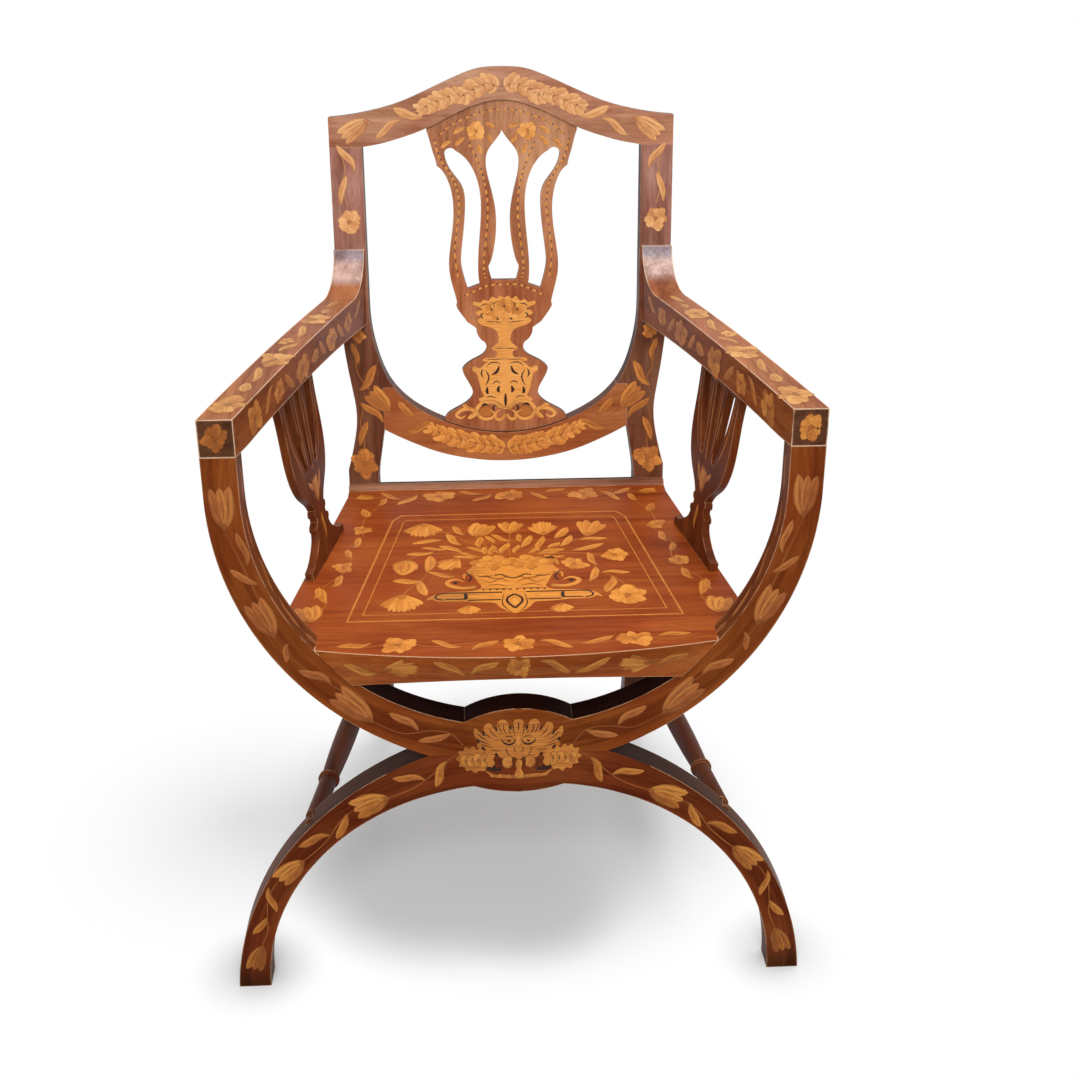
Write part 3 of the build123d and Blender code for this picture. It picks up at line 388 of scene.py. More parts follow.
@dataclass(frozen=True)
class SatinwoodInlay(Finish):
    """Satinwood and boxwood veneer, sand-scorched at the root of each leaf and engraved.

    Each piece is a little darker at its sawn edge, the graver's lines are filled with dark
    mastic, and the whole lies under the same shellac as the mahogany round it.
    """

    name: str
    mid: str
    dark: str
    light: str
    line: str = "#3c1d0e"
    shine: float = 0.15
    seam: float = 0.5

    def build(self) -> Material:
        """Builds the material on the piece's own UV map and its tone, rim and ink attributes.

        Returns:
            The finished material.
        """
        material, tree, shader = new_material(self.name)
        # the grain goes with each piece: slow along it and fine across
        uv = add_node(tree, "UVMap", uv_map="UVMap")
        run = add_node(tree, "Mapping", Vector=uv, Scale=(2.0, 9.0, 1.0))
        grain = add_node(
            tree, "TexNoise", noise_dimensions="2D", Vector=run, Scale=1.6, Detail=3.0,
            Roughness=0.6,
        )
        tone, rim, ink = (
            add_node(tree, "Attribute", attribute_name=name).outputs["Fac"]
            for name in ("tone", "rim", "ink")
        )
        shade = add_node(tree, "Math", operation="MULTIPLY_ADD", in_0=tone, in_1=0.6, in_2=grain)
        ramp = add_node(tree, "ValToRGB", Fac=shade)
        set_ramp(ramp, [(0.25, self.dark), (0.5, self.mid), (0.72, self.light)])
        # hot sand has darkened the root, and the saw has left a darker line round the rim
        root = add_node(tree, "SeparateXYZ", Vector=uv)
        scorch, edge = (
            add_node(
                tree, "MapRange", interpolation_type="SMOOTHSTEP", Value=value, From_Max=reach,
                To_Min=least, To_Max=1.0,
            )
            for value, reach, least in ((root, 0.35, 0.7), (rim, 0.3, self.seam))
        )
        clean = add_node(tree, "Math", operation="MULTIPLY", in_0=scorch, in_1=edge)
        bare = add_node(tree, "Math", operation="SUBTRACT", in_0=1.0, in_1=ink)
        kept = add_node(tree, "Math", operation="MULTIPLY", in_0=clean, in_1=bare)
        colour = add_node(tree, "MixRGB", Fac=kept, Color1=linear(self.line), Color2=ramp)
        feed(tree, shader, Base_Color=colour, Roughness=0.42, Specular_IOR_Level=self.shine)
        return material


@dataclass(frozen=True)
class PlainFinish(Finish):
    """A finish with one colour that drifts a little: ebony lines, raw oak, steel."""

    name: str
    colour: str
    drift: str
    roughness: float
    metallic: float = 0.0
    speck_mm: float = 6.0

    def build(self) -> Material:
        """Builds the material.

        Returns:
            The finished material.
        """
        material, tree, shader = new_material(self.name)
        place = add_node(tree, "TexCoord").outputs["Object"]
        noise = add_node(tree, "TexNoise", Vector=place, Scale=1 / (self.speck_mm * MM), Detail=4.0)
        ramp = add_node(tree, "ValToRGB", Fac=noise)
        set_ramp(ramp, [(0.35, self.drift), (0.62, self.colour)])
        rough = add_node(
            tree, "MapRange", Value=noise, To_Min=self.roughness - 0.08,
            To_Max=self.roughness + 0.1,
        )
        feed(tree, shader, Base_Color=ramp, Roughness=rough, Metallic=self.metallic)
        if not self.metallic:
            feed(tree, shader, Specular_IOR_Level=0.15)
        return material


# ---- grounds: the faces that marquetry is let into ---------------------------------------
class Ground(ABC):
    """A face of the chair with its own two directions, in millimetres."""

    @abstractmethod
    def place(self, u: float, v: float, lift: float) -> Vector:
        """Finds a point of the face.

        Args:
            u: How far along the face's first direction, in millimetres.
            v: How far along its second.
            lift: How far the point is raised above the face.

        Returns:
            The point in millimetres.
        """


@dataclass(frozen=True)
class FlatGround(Ground):
    """A flat face, from an origin and its two directions."""

    origin: Vector
    across: Vector
    up: Vector

    def place(self, u: float, v: float, lift: float) -> Vector:
        """Point of the face at (u, v), raised by lift."""
        return self.origin + self.across * u + self.up * v + self.across.cross(self.up) * lift


@dataclass(frozen=True)
class BowedGround(Ground):
    """The bowed front of the seat: u is the distance round the bow, v the height."""

    half_chord: float
    rise: float
    front: float

    def place(self, u: float, v: float, lift: float) -> Vector:
        """Finds a point of the bow.

        Args:
            u: The distance round the bow from its middle, in millimetres.
            v: The height.
            lift: How far the point stands proud.

        Returns:
            The point in millimetres.
        """
        radius = (self.half_chord**2 + self.rise**2) / (2 * self.rise)
        turn = u / radius
        middle = self.front + radius - self.rise
        reach = radius + lift
        return Vector((reach * math.sin(turn), middle - reach * math.cos(turn), v))


@dataclass(frozen=True)
class PostInside(Ground):
    """Inner face of the right post: u runs down from where it starts to curve, v backwards."""

    centre: Point
    radius: float

    def place(self, u: float, v: float, lift: float) -> Vector:
        """Finds a point of the post's inner face.

        Args:
            u: The distance down the curve; a negative one is above it, where the face is upright.
            v: The distance backwards.
            lift: How far the point stands proud.

        Returns:
            The point in millimetres.
        """
        turn, reach = max(u, 0) / self.radius, self.radius - lift
        cx, cz = self.centre
        return Vector((cx + reach * math.cos(turn), v, cz - reach * math.sin(turn) - min(u, 0)))


@dataclass(frozen=True)
class ArmTop(Ground):
    """Top of the right arm: u is the distance back from its front, v outwards.

    It follows a flat arch through three (y, z) points, then the quarter round of the ramp.
    """

    front: Vector
    rear: Vector
    crown: tuple[Point, Point, Point]
    ramp: Point
    ramp_radius: float

    def place(self, u: float, v: float, lift: float) -> Vector:
        """Finds a point of the arm's top.

        Args:
            u: The distance back from the arm's front, in millimetres.
            v: The distance outwards.
            lift: How far the point stands proud.

        Returns:
            The point in millimetres.
        """
        run = (self.rear - self.front).normalized()
        spot = self.front + run * u + Vector((run.y, -run.x, 0)) * v
        foot_y, centre_z = self.ramp
        if spot.y > foot_y:
            reach = self.ramp_radius - lift
            turn = min((spot.y - foot_y) / self.ramp_radius, STEEPEST)
            return Vector(
                (spot.x, foot_y + reach * math.sin(turn), centre_z - reach * math.cos(turn))
            )
        (y0, z0), (y1, z1), (y2, z2) = self.crown
        d = 2 * (y0 * (z1 - z2) + y1 * (z2 - z0) + y2 * (z0 - z1))
        s0, s1, s2 = y0**2 + z0**2, y1**2 + z1**2, y2**2 + z2**2
        cy = (s0 * (z1 - z2) + s1 * (z2 - z0) + s2 * (z0 - z1)) / d
        cz = (s0 * (y2 - y1) + s1 * (y0 - y2) + s2 * (y1 - y0)) / d
        radius = math.hypot(y0 - cy, z0 - cz)
        spot.z = cz + math.sqrt(radius**2 - (spot.y - cy) ** 2) + lift
        return spot


@dataclass(frozen=True)
class Mirrored(Ground):
    """The same face on the other side of the chair."""

    other: Ground

    def place(self, u: float, v: float, lift: float) -> Vector:
        """Point of the face at (u, v), raised by lift."""
        spot = self.other.place(u, v, lift)
        return Vector((-spot.x, spot.y, spot.z))


def both_sides(*grounds: Ground) -> Iterator[tuple]:
    """The word right with the grounds themselves, then left with their mirror images."""
    yield ("right", *grounds)
    yield ("left", *(Mirrored(ground) for ground in grounds))


# ---- marquetry ---------------------------------------------------------------------------
class Outline(Enum):
    """Half widths of a piece of veneer to its left and right, root to tip, and its end's reach."""

    LEAF = (
        (0.1, 0.66, 0.98, 1.0, 0.84, 0.58, 0.05), (0.05, 0.36, 0.64, 0.88, 1.0, 0.72, 0.05), (1, 1)
    )
    FAN = ((0.14, 0.38, 0.66, 0.86, 0.97, 1, 0.94),) * 2 + (
        (0.72, 0.94, 0.8, 1, 0.82, 0.98, 0.8, 0.96, 0.74),
    )
    PETAL = ((0.3, 0.66, 0.9, 1, 0.96, 0.78, 0.1),) * 2 + ((1, 1),)
    RAGGED = ((0.24, 0.5, 0.74, 0.92, 1, 0.96, 0.7),) * 2 + ((0.84, 1, 0.86, 1, 0.88),)
    BUD = ((0.28, 0.8, 1, 0.98, 0.82, 0.52, 0.06),) * 2 + ((1, 1),)
    ROUND = ((0.3, 0.76, 0.95, 1, 0.95, 0.76, 0.3),) * 2 + ((1, 1),)
    STRIP = ((1, 1),) * 2 + ((1, 1),)
    TAPER = ((1, 0.95, 0.88, 0.78, 0.64, 0.45, 0.12),) * 2 + ((1, 1),)
    LINE = ((0.3, 1, 1, 0.2),) * 2 + ((1, 1),)


def along(points: tuple, share: float) -> float | Vector:
    """Smooth value between evenly spaced ones.

    Args:
        points: Numbers or vectors.
        share: Where to read them, 0 to 1.

    Returns:
        The value there, by a Catmull-Rom curve.
    """
    last = len(points) - 1
    place = min(max(share, 0.0), 1.0) * last
    i = min(int(place), last - 1)
    t = place - i
    p0, p1 = points[max(i - 1, 0)], points[i]
    p2, p3 = points[i + 1], points[min(i + 2, last)]
    return p1 + (p2 - p0) * (0.5 * t) + (p0 * 2 - p1 * 5 + p2 * 4 - p3) * (0.5 * t * t) + (
        (p1 - p2) * 3 + p3 - p0
    ) * (0.5 * t**3)


@dataclass(frozen=True)
class Sliver:
    """One piece of veneer or one engraved line of a motif.

    Places are shares of the motif's length (x) and of its width (y).
    """

    path: tuple[Point, ...]
    width: float
    outline: Outline
    tone: float = 0.0
    level: int = 0
    ink: float = 0.0


def engraved(*path: Point, ink: float = 0.6) -> list[Sliver]:
    """A thin engraved line and its mirror image.

    Args:
        *path: The line's places.
        ink: How dark it is, 0 to 1.

    Returns:
        The two lines.
    """
    return [
        Sliver(tuple((x, side * y) for x, y in path), 0.035, Outline.LINE, 0, 1, ink)
        for side in (-1, 1)
    ]


def fanned(*petals: tuple[float, float, float]) -> list[Sliver]:
    """Lays ragged petals out from the root.

    Args:
        *petals: The place of each petal's tip and its tone.

    Returns:
        The petals.
    """
    return [
        Sliver(((0, 0), (0.42 * x, 0.36 * y), (x, y)), 0.29, Outline.RAGGED, tone, k // 2)
        for k, (x, y, tone) in enumerate(petals)
    ]


class Motif(Enum):
    """The flowers and leaves of the marquetry, each from its root (0, 0) to its tip (1, 0).

    Each value holds the motif's pieces of veneer and its lines, lowest first. A rose has none,
    because a sheet draws its petals afresh each time.
    """

    LEAF = (
        Sliver(((0, 0), (0.32, 0.08), (0.68, 0.03), (1, 0)), 1.0, Outline.LEAF),
        Sliver(((0.12, 0.03), (0.45, 0.07), (0.8, 0.02)), 0.07, Outline.LINE, 0, 1, 0.4),
    )
    TULIP = (
        Sliver(((0, 0.05), (0.34, 0.38), (0.74, 0.5)), 0.2, Outline.PETAL, -0.25),
        Sliver(((0, 0), (0.28, 0.2), (0.66, 0.27), (1, 0.38)), 0.5, Outline.PETAL, 0.15),
        Sliver(((0, 0), (0.28, -0.2), (0.62, -0.28), (0.96, -0.42)), 0.5, Outline.PETAL, -0.15),
        Sliver(((0.02, 0), (0.5, 0.02), (0.97, -0.03)), 0.44, Outline.PETAL, 0.05, 1),
        *engraved((0.25, 0.2), (0.55, 0.27), (0.85, 0.32), ink=0.4),
        Sliver(((0.2, 0.02), (0.5, 0.05), (0.8, 0)), 0.04, Outline.LINE, 0, 2, 0.4),
        Sliver(((-0.05, 0), (0.04, 0), (0.12, 0)), 0.22, Outline.ROUND, -0.5, 2),
    )
    CARNATION = (
        *fanned((0.62, 0.46, 0.1), (0.68, -0.45, -0.2), (0.9, 0.26, -0.1), (0.94, -0.23, 0.15),
                (1.0, 0.02, 0.05)),
        Sliver(((-0.04, 0), (0.1, 0), (0.27, 0)), 0.2, Outline.ROUND, -0.45, 3),
    )
    ROSE = ()
    BUD = (
        Sliver(((-0.02, 0), (0.3, 0.26), (0.62, 0.4)), 0.24, Outline.PETAL, -0.2),
        Sliver(((0, 0), (0.5, 0), (1, 0)), 0.86, Outline.BUD),
        *engraved((0.15, 0.03), (0.5, 0.16), (0.85, 0.03)),
    )
    LILY = (
        Sliver(((0, 0), (0.4, 0.16), (0.86, 0.42)), 0.34, Outline.PETAL, 0.1),
        Sliver(((0, 0), (0.4, -0.16), (0.8, -0.44)), 0.34, Outline.PETAL, -0.15),
        Sliver(((0, 0), (0.5, 0.1), (0.98, 0.2)), 0.3, Outline.PETAL, -0.1, 1),
        Sliver(((0, 0), (0.5, -0.1), (1, -0.16)), 0.32, Outline.PETAL, 0.1, 1),
        Sliver(((-0.04, 0), (0.08, 0), (0.22, 0)), 0.2, Outline.ROUND, -0.4, 2),
    )


# the motifs by their short names, for the tables of the sub-assemblies
LEAF, TULIP, CARNATION, ROSE, BUD, LILY = Motif
Placed = tuple[Motif, Point, Point, float]


def on_side(side: int, *points: Point) -> list[Point]:
    """Puts points on the right (1) or the left (-1) of the chair's middle."""
    return [(side * x, y) for x, y in points]


def half_axes(root: Point, tip: Point, width: float) -> tuple[Vector, Vector, Vector]:
    """Finds the axes of a shape that reaches from its root to its tip.

    Args:
        root: One end of it.
        tip: The other end.
        width: Its width across.

    Returns:
        Its middle, half its length and half its width.
    """
    start, end = Vector(root), Vector(tip)
    run = (end - start) / 2
    return (start + end) / 2, run, Vector((-run.y, run.x)).normalized() * (width / 2)


class Marquetry:
    """All the veneer let into one face, gathered in one mesh a hair above the ground."""

    def __init__(self, name: str, ground: Ground, lift: float = 0.1) -> None:
        """Starts an empty sheet.

        Args:
            name: The piece's name.
            ground: The face that it lies on.
            lift: How far its lowest veneer stands above the ground, in millimetres.
        """
        self.name = name
        self.ground = ground
        self.lift = lift
        self.mesh = bmesh.new()
        self.uv = self.mesh.loops.layers.uv.new("UVMap")
        self.tone, self.rim, self.ink = (
            self.mesh.verts.layers.float.new(layer) for layer in ("tone", "rim", "ink")
        )
        self.dice = random.Random(name)
        self.laid = 0

    def settle(self, verts: list[bmesh.types.BMVert], tone: float, level: int, ink: float) -> None:
        """Puts a flat piece, drawn in millimetres, on the ground at its own height.

        Args:
            verts: The piece's vertices.
            tone: Lighter above 0, darker below.
            level: How many pieces it lies on.
            ink: How dark it is inked, 0 to 1.
        """
        self.laid += 1
        lift = self.lift + LEVEL_MM * level + STAGGER_MM * (self.laid % STAGGERS)
        shade = tone + self.dice.uniform(-0.12, 0.12)
        u, v = verts[0].co.x, verts[0].co.y
        out = self.ground.place(u, v, 1.0) - self.ground.place(u, v, 0.0)
        for vert in verts:
            vert.co = self.ground.place(vert.co.x, vert.co.y, lift) * MM
            vert[self.tone] += shade
            vert[self.ink] = ink
        faces = {face for vert in verts for face in vert.link_faces}
        for face in faces:
            face.normal_update()
        turned = [face for face in faces if face.normal.dot(out) < 0]
        bmesh.ops.reverse_faces(self.mesh, faces=turned)

    def lay(
        self, path: list[Point], width: float, outline: Outline = Outline.STRIP, tone: float = 0.0,
        level: int = 0, ink: float = 0.0, steps: int = 8,
    ) -> None:
        """Lays one piece of veneer along a line.

        Args:
            path: Its middle line on the ground, in millimetres.
            width: Its full width at the widest.
            outline: Its shape.
            tone: Lighter above 0, darker below.
            level: How many pieces it lies on.
            ink: How dark it is inked, 0 to 1.
            steps: How many divisions run along it.
        """
        left, right, ends = outline.value
        across = 2 if len(ends) == 2 else 2 * (len(ends) - 1)
        made = bmesh.ops.create_grid(
            self.mesh, x_segments=steps, y_segments=across, size=1.0, calc_uvs=True
        )["verts"]
        points = tuple(Vector(p) for p in path)
        for vert in made:
            share, side = (vert.co.x + 1) / 2, vert.co.y
            vert[self.rim] = 0.0 if min(share, 1 - share, 1 - abs(side)) < 0.001 else 1.0
            share *= along(ends, (side + 1) / 2)
            spot = along(points, share)
            ahead = along(points, min(share + 0.02, 1.0)) - along(points, max(share - 0.02, 0.0))
            ahead = ahead.normalized() if ahead.length > 1e-6 else Vector((1.0, 0.0))
            half = along(left if side > 0 else right, share) * width / 2
            if outline is not Outline.STRIP:
                vert[self.tone] = 0.18 * side
                half *= self.dice.uniform(0.92, 1.04)
            vert.co.xy = spot + Vector((-ahead.y, ahead.x)) * (side * half)
        self.settle(made, tone, level, ink)

    def disc(
        self, root: Point, tip: Point, width: float, lobes: int, tone: float = 0.0,
        level: int = 0, ink: float = 0.0, depth: float = 0.22,
    ) -> None:
        """Lays one round piece with lobes, stretched from root to tip.

        Args:
            root: One end of it.
            tip: The other end.
            width: Its width across.
            lobes: How many petals its edge has.
            tone: Lighter above 0, darker below.
            level: How many pieces it lies on.
            ink: How dark it is inked, 0 to 1.
            depth: How deep the notches are, as a share of the radius.
        """
        middle, run, side = half_axes(root, tip, width)
        made = bmesh.ops.create_circle(
            self.mesh, cap_ends=True, cap_tris=True, segments=max(12, 6 * lobes), radius=1.0,
            calc_uvs=True,
        )["verts"]
        for vert in made:
            x, y = vert.co.x, vert.co.y
            rim = math.hypot(x, y) > 0.5
            angle = math.atan2(y, x)
            reach = 1 - depth + depth * abs(math.cos(lobes * angle / 2)) ** 0.6
            reach *= self.dice.uniform(0.94, 1.03)
            vert[self.tone] = 0.15 * y
            vert[self.rim] = 0.0 if rim else 1.0
            vert.co.xy = middle + (run * x + side * y) * (reach if rim else 0.0)
        self.settle(made, tone, level, ink)

    def cut(
        self, points: list[Point], tone: float = 0.0, level: int = 0, paired: bool = True,
        side: int = 1,
    ) -> None:
        """Lays a piece with a free outline, smooth through its points.

        Args:
            points: The outline, or its right half from end to end.
            tone: Lighter above 0, darker below.
            level: How many pieces it lies on.
            paired: Whether the left half mirrors the right.
            side: -1 draws it on the other side of the middle.
        """
        ring = [Vector((side * x, y)) for x, y in points]
        if paired:
            ring += [Vector((-p.x, p.y)) for p in reversed(ring) if abs(p.x) > 0.01]
        loop = (ring[-1], *ring, *ring[:2])
        count = 3 * len(ring)
        made = bmesh.ops.create_circle(
            self.mesh, cap_ends=True, segments=count, radius=1.0, calc_uvs=True
        )["verts"]
        for k, vert in enumerate(made):
            vert.co.xy = along(loop, (1 + k / 3) / (len(loop) - 1))
        face = made[0].link_faces[0]
        face.normal_update()
        bmesh.ops.inset_region(
            self.mesh, faces=[face], thickness=SAWN_RIM_MM, use_even_offset=False
        )
        for vert in face.verts:
            vert[self.rim] = 1.0
        faces = list({f for vert in made for f in vert.link_faces} | {face})
        wide, high = CUT_GRAIN_MM
        for corner in (corner for each in faces for corner in each.loops):
            x, y = corner.vert.co.xy
            corner[self.uv].uv = (CUT_GRAIN_START + x / wide, y / high)
        faces = bmesh.ops.triangulate(self.mesh, faces=faces)["faces"]
        self.settle(list({vert for each in faces for vert in each.verts}), tone, level, 0.0)

    def stamp(
        self, motif: Motif, root: Point, tip: Point, width: float, tone: float = 0.0, level: int = 1
    ) -> None:
        """Lays a motif from its root to its tip.

        Args:
            motif: Which one.
            root: Where its stem joins it.
            tip: Its far end.
            width: Its full width in millimetres; a negative one turns a leaf's curve over.
            tone: Lighter above 0, darker below.
            level: How many pieces it lies on.
        """
        start, run = Vector(root), Vector(tip) - Vector(root)
        bend, width = math.copysign(1, width), abs(width)
        side = Vector((-run.y, run.x)).normalized()
        if motif is ROSE:
            self.rose(root, tip, width, tone, level)
            return
        across = run.length if motif is LEAF else width
        for part in motif.value:
            path = [start + run * x + side * (y * bend * across) for x, y in part.path]
            breadth = max(part.width * width, THINNEST_MM)
            shade, height = tone + part.tone, level + part.level
            self.lay(path, breadth, part.outline, shade, height, part.ink)

    def rose(self, root: Point, tip: Point, width: float, tone: float, level: int) -> None:
        """Lays a full-blown flower: a lobed disc, its petals' lines and a small centre.

        Args:
            root: One end of it.
            tip: The other end.
            width: Its width across.
            tone: Lighter above 0, darker below.
            level: How many pieces it lies on.
        """
        middle, run, side = half_axes(root, tip, width)
        turn = self.dice.uniform(0, 1)
        petals = 6 if width > WIDE_ROSE_MM else 5
        for k in range(petals):
            angle = turn + math.tau * (k + self.dice.uniform(-0.16, 0.16)) / petals
            spoke = run * math.cos(angle) + side * math.sin(angle)
            bend = Vector((-spoke.y, spoke.x)) * self.dice.uniform(-0.2, 0.2)
            reach = self.dice.uniform(0.86, 1.06)
            breadth = (run.length + side.length) * self.dice.uniform(0.5, 0.68)
            path = [middle, middle + spoke * 0.5 * reach + bend, middle + spoke * reach]
            shade = tone + self.dice.uniform(-0.2, 0.2)
            self.lay(path, breadth, Outline.RAGGED, shade, level + k % 2)
        heart, breadth = run * 0.22, side.length * 0.44
        self.disc(middle - heart, middle + heart, breadth, 3, tone - 0.4, level + 3, 0.1, 0.2)

    def trail(
        self, motifs: Sequence[Placed], stems: list[list[Point]], tone: float = 0.0
    ) -> "Marquetry":
        """Lays a trail of motifs with their stems under them.

        Args:
            motifs: Each with its root, tip and width; a negative width turns a leaf's curve over.
            stems: The points of each stem.
            tone: Lighter above 0, darker below.

        Returns:
            The sheet itself.
        """
        for points in stems:
            self.lay(points, STEM_MM, Outline.STRIP, tone - 0.15, 0, 0.15, 6 * (len(points) - 1))
        for motif, root, tip, width in motifs:
            self.stamp(motif, root, tip, width, tone)
        return self

    def finish(self, material: Material) -> None:
        """Turns the sheet into a piece of the chair and fixes it there.

        Args:
            material: Its finish.
        """
        data = bpy.data.meshes.new(self.name)
        self.mesh.to_mesh(data)
        self.mesh.free()
        data.materials.append(material)
        piece = bpy.data.objects.new(self.name, data)
        bpy.context.scene.collection.objects.link(piece)
        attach(piece, "root")
        log.info("%s: %d faces", self.name, len(data.polygons))


def dress(material: Material, *nodes: str) -> None:
    """Gives CAD pieces their finish.

    Args:
        material: The finish.
        *nodes: The pieces' names; one that ends in _ stands for a right and a left piece.
    """
    for node in nodes:
        for name in (node + "right", node + "left") if node.endswith("_") else (node,):
            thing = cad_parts[name]
            if not thing.material_slots:
                thing.data.materials.append(None)
            for holder in thing.material_slots:
                holder.material = material
            log.info("%s dressed in %s", name, material.name)


# ---- sub-assemblies ----------------------------------------------------------------------
@dataclass
class FrontFrame:
    """The curved posts over curved legs, with the boss where they meet."""

    face_y: float = -270.0
    post_centre: Point = (3.5, 638.0)
    post_radius: float = 280.0
    # knife-cut veneer bent round the posts: warm brown, with painted shade making the sides nearly
    # black where they turn under
    veneer: Finish = MahoganyVeneer(
        "mahogany_post_veneer", "#7d4018", Grain.POST_CURVE, shine=0.05, worn=0.8, spared=0.3,
        worn_bands=((2, 0.54, 0.2),),
        flank=(
            (0.36, "#1c0906"), (0.42, "#2f120b"), (0.45, "#733e1c"), (0.6, "#85471e"),
            (0.68, "#754226"),
        ),
    )
    # the same on the legs, whose polish feet have dulled and knocked off at the edges; their sides
    # darken towards the boss to nearly black, a painted shade
    leg_veneer: Finish = MahoganyVeneer(
        "mahogany_leg_veneer", "#6f3518", Grain.LEG_CURVE, shine=0.04, worn=0.75, spared=0.3,
        worn_bands=((2, 0.148, 0.15),),
        faces=(Face((0, -1, 0), "#40200f", 0.05, 0.0),),
        flank=(
            (0.0, "#5f3a28"), (0.16, "#6b4029"), (0.24, "#4f2e1f"), (0.34, "#2a1812"),
            (0.38, "#1a0806"),
        ),
    )
    # satinwood that has yellowed to brown, and lies low against the dark mahogany
    inlay: Finish = SatinwoodInlay("satinwood_frame_inlay", "#a8652a", "#84491c", "#c4833c")
    boss_inlay: Finish = SatinwoodInlay("satinwood_boss_inlay", "#ab662b", "#83491e", "#c5823c")
    post_inlay: Finish = SatinwoodInlay("satinwood_post_inlay", "#98552a", "#7c431c", "#b06f36")
    # sawn ebony slips: nearly black, with a little brown
    ink: Finish = PlainFinish("ebony_boss_line", "#23120c", "#33190f", 0.4)
    post_motifs: tuple[Placed, ...] = (
        (TULIP, (302, 607), (303, 655), 25), (LEAF, (283, 563), (291, 603), 9),
        (LEAF, (272, 541), (301, 560), -9), (TULIP, (261, 479), (281, 523), 26),
        (LEAF, (203, 417), (238, 436), 12), (TULIP, (162, 369), (201, 408), 28),
        (LEAF, (111, 354), (143, 379), 11), (LEAF, (74, 350), (112, 341), -10),
        (LEAF, (246, 470), (250, 446), 8),
    )
    leg_motifs: tuple[Placed, ...] = (
        (LEAF, (105, 288), (143, 292), 10), (LEAF, (80, 314), (94, 279), 11),
        (TULIP, (149, 266), (190, 250), 28), (LEAF, (196, 247), (210, 212), -11),
        (LEAF, (216, 217), (254, 202), 11), (TULIP, (250, 182), (281, 154), 24),
        (LEAF, (292, 147), (285, 110), 9), (LEAF, (297, 103), (316, 79), -10),
    )
    inside_motifs: tuple[Placed, ...] = (
        (LEAF, (-36, -256), (10, -251), 9), (LEAF, (20, -250), (62, -256), -8),
        (LEAF, (72, -252), (118, -257), 9), (LEAF, (124, -250), (168, -256), -8),
        (BUD, (176, -256), (196, -252), 11),
    )

    def build(self) -> None:
        """Dresses the frame and lays its marquetry."""
        dress(self.veneer.build(), "front_post_", "frame_dowels")
        dress(self.leg_veneer.build(), "front_leg_")
        inlay, faint = self.inlay.build(), self.post_inlay.build()
        bright = self.boss_inlay.build()
        face = FlatGround(Vector((0, self.face_y, 0)), RIGHTWARD, UPWARD)
        inside = PostInside(self.post_centre, self.post_radius)
        for side, ground, inner in both_sides(face, inside):
            Marquetry(f"post_marquetry_{side}", ground).trail(self.post_motifs, [
                [(303, 607), (288, 566), (279, 540), (268, 505), (261, 480)],
                [(261, 479), (240, 447), (214, 424), (185, 402), (162, 371)],
                [(162, 369), (130, 352), (98, 354), (76, 350), (62, 334)],
            ]).finish(faint)
            sheet = Marquetry(f"leg_marquetry_{side}", ground)
            sheet.trail(self.leg_motifs, [
                [(68, 322), (82, 312), (104, 290), (124, 276), (149, 266)],
                [(190, 250), (206, 234), (218, 214), (234, 196), (250, 182)],
                [(281, 154), (293, 134), (297, 104), (298, 84), (306, 62)],
            ])
            sheet.stamp(TULIP, (306, 60), (320, 24), 21, -0.35)
            sheet.finish(inlay)
            sheet = Marquetry(f"arm_end_marquetry_{side}", ground)
            # painted light: the right rose is lighter and the left darker, as if lit from the right
            sheet.rose((303, 693), (303, 721), 25, 0.3 if side == "right" else -0.4, 1)
            sheet.finish(bright)
            Marquetry(f"post_inside_marquetry_{side}", inner).trail(self.inside_motifs, [
                [(-44, -250), (10, -257), (70, -250), (120, -258), (196, -252)],
            ]).finish(faint)
        self.lay_boss(face, bright)

    def lay_boss(self, face: Ground, inlay: Material) -> None:
        """Lays the leaf mask on the boss: a plume, leaves to its sides, drops and a garland.

        Args:
            face: The front face of the frame.
            inlay: The finish of the light veneer.
        """
        sheet = Marquetry("boss_marquetry", face, 0.1)
        dark = Marquetry("boss_ebony", face, 0.34)
        sheet.cut([
            (0, 366), (4, 365), (6, 361), (6, 355), (10, 356), (12, 362), (16, 366), (21, 365),
            (24, 360), (24, 354), (28, 355), (31, 361), (36, 361), (39, 356), (38, 349), (42, 349),
            (48, 356), (50, 350), (48, 343), (44, 339), (47, 333), (43, 329), (39, 331), (35, 324),
            (29, 321), (24, 321), (20, 315), (12, 318), (6, 316), (0, 314),
        ], 0.0, 0)
        for side in (-1, 1):
            sheet.cut([
                (27, 308), (29, 314), (27, 319), (32, 322), (34, 327), (39, 325.5), (43, 330),
                (47, 327), (51, 332), (55, 329), (60, 331.5), (62, 326.5), (68, 326), (66.5, 320),
                (71, 316), (66.5, 312), (67, 306), (61.5, 305), (59, 299), (54, 300.5), (49, 296),
                (45, 299.5), (39, 298.5), (37, 303), (32, 303),
            ], 0.05, 0, paired=False, side=side)
            sheet.disc(*on_side(side, (13, 301), (12, 319)), 14, 2, 0.12, 1, depth=0.08)
            drop = on_side(side, (5, 290), (16, 291), (28, 292), (38, 299))
            sheet.lay(drop, 6, Outline.TAPER, -0.05, 1, 0, 12)
            for x, z in ((8, 288), (18, 289), (28, 290)):
                sheet.disc(*on_side(side, (x, z), (x + 5, z + 5)), 5, 2, 0, 2, depth=0.1)
            for x, z in ((10.5, 357), (26, 356), (40, 350), (46, 341), (41, 331), (26, 322)):
                dark.disc(*on_side(side, (x - 2, z - 5), (x, z + 1)), 2.6, 2, depth=0.05)
            for root, tip in (
                ((4, 345), (5, 360)), ((13, 346), (17, 361)), ((24, 343), (33, 356)),
                ((34, 338), (46, 350)), ((28, 330), (42, 334)), ((10, 318), (14, 330)),
                ((18, 348), (22, 362)), ((29, 341), (38, 351)), ((33, 334), (45, 341)),
                ((20, 325), (32, 327)), ((3, 322), (4, 330)), ((8, 347), (10, 352)),
            ):
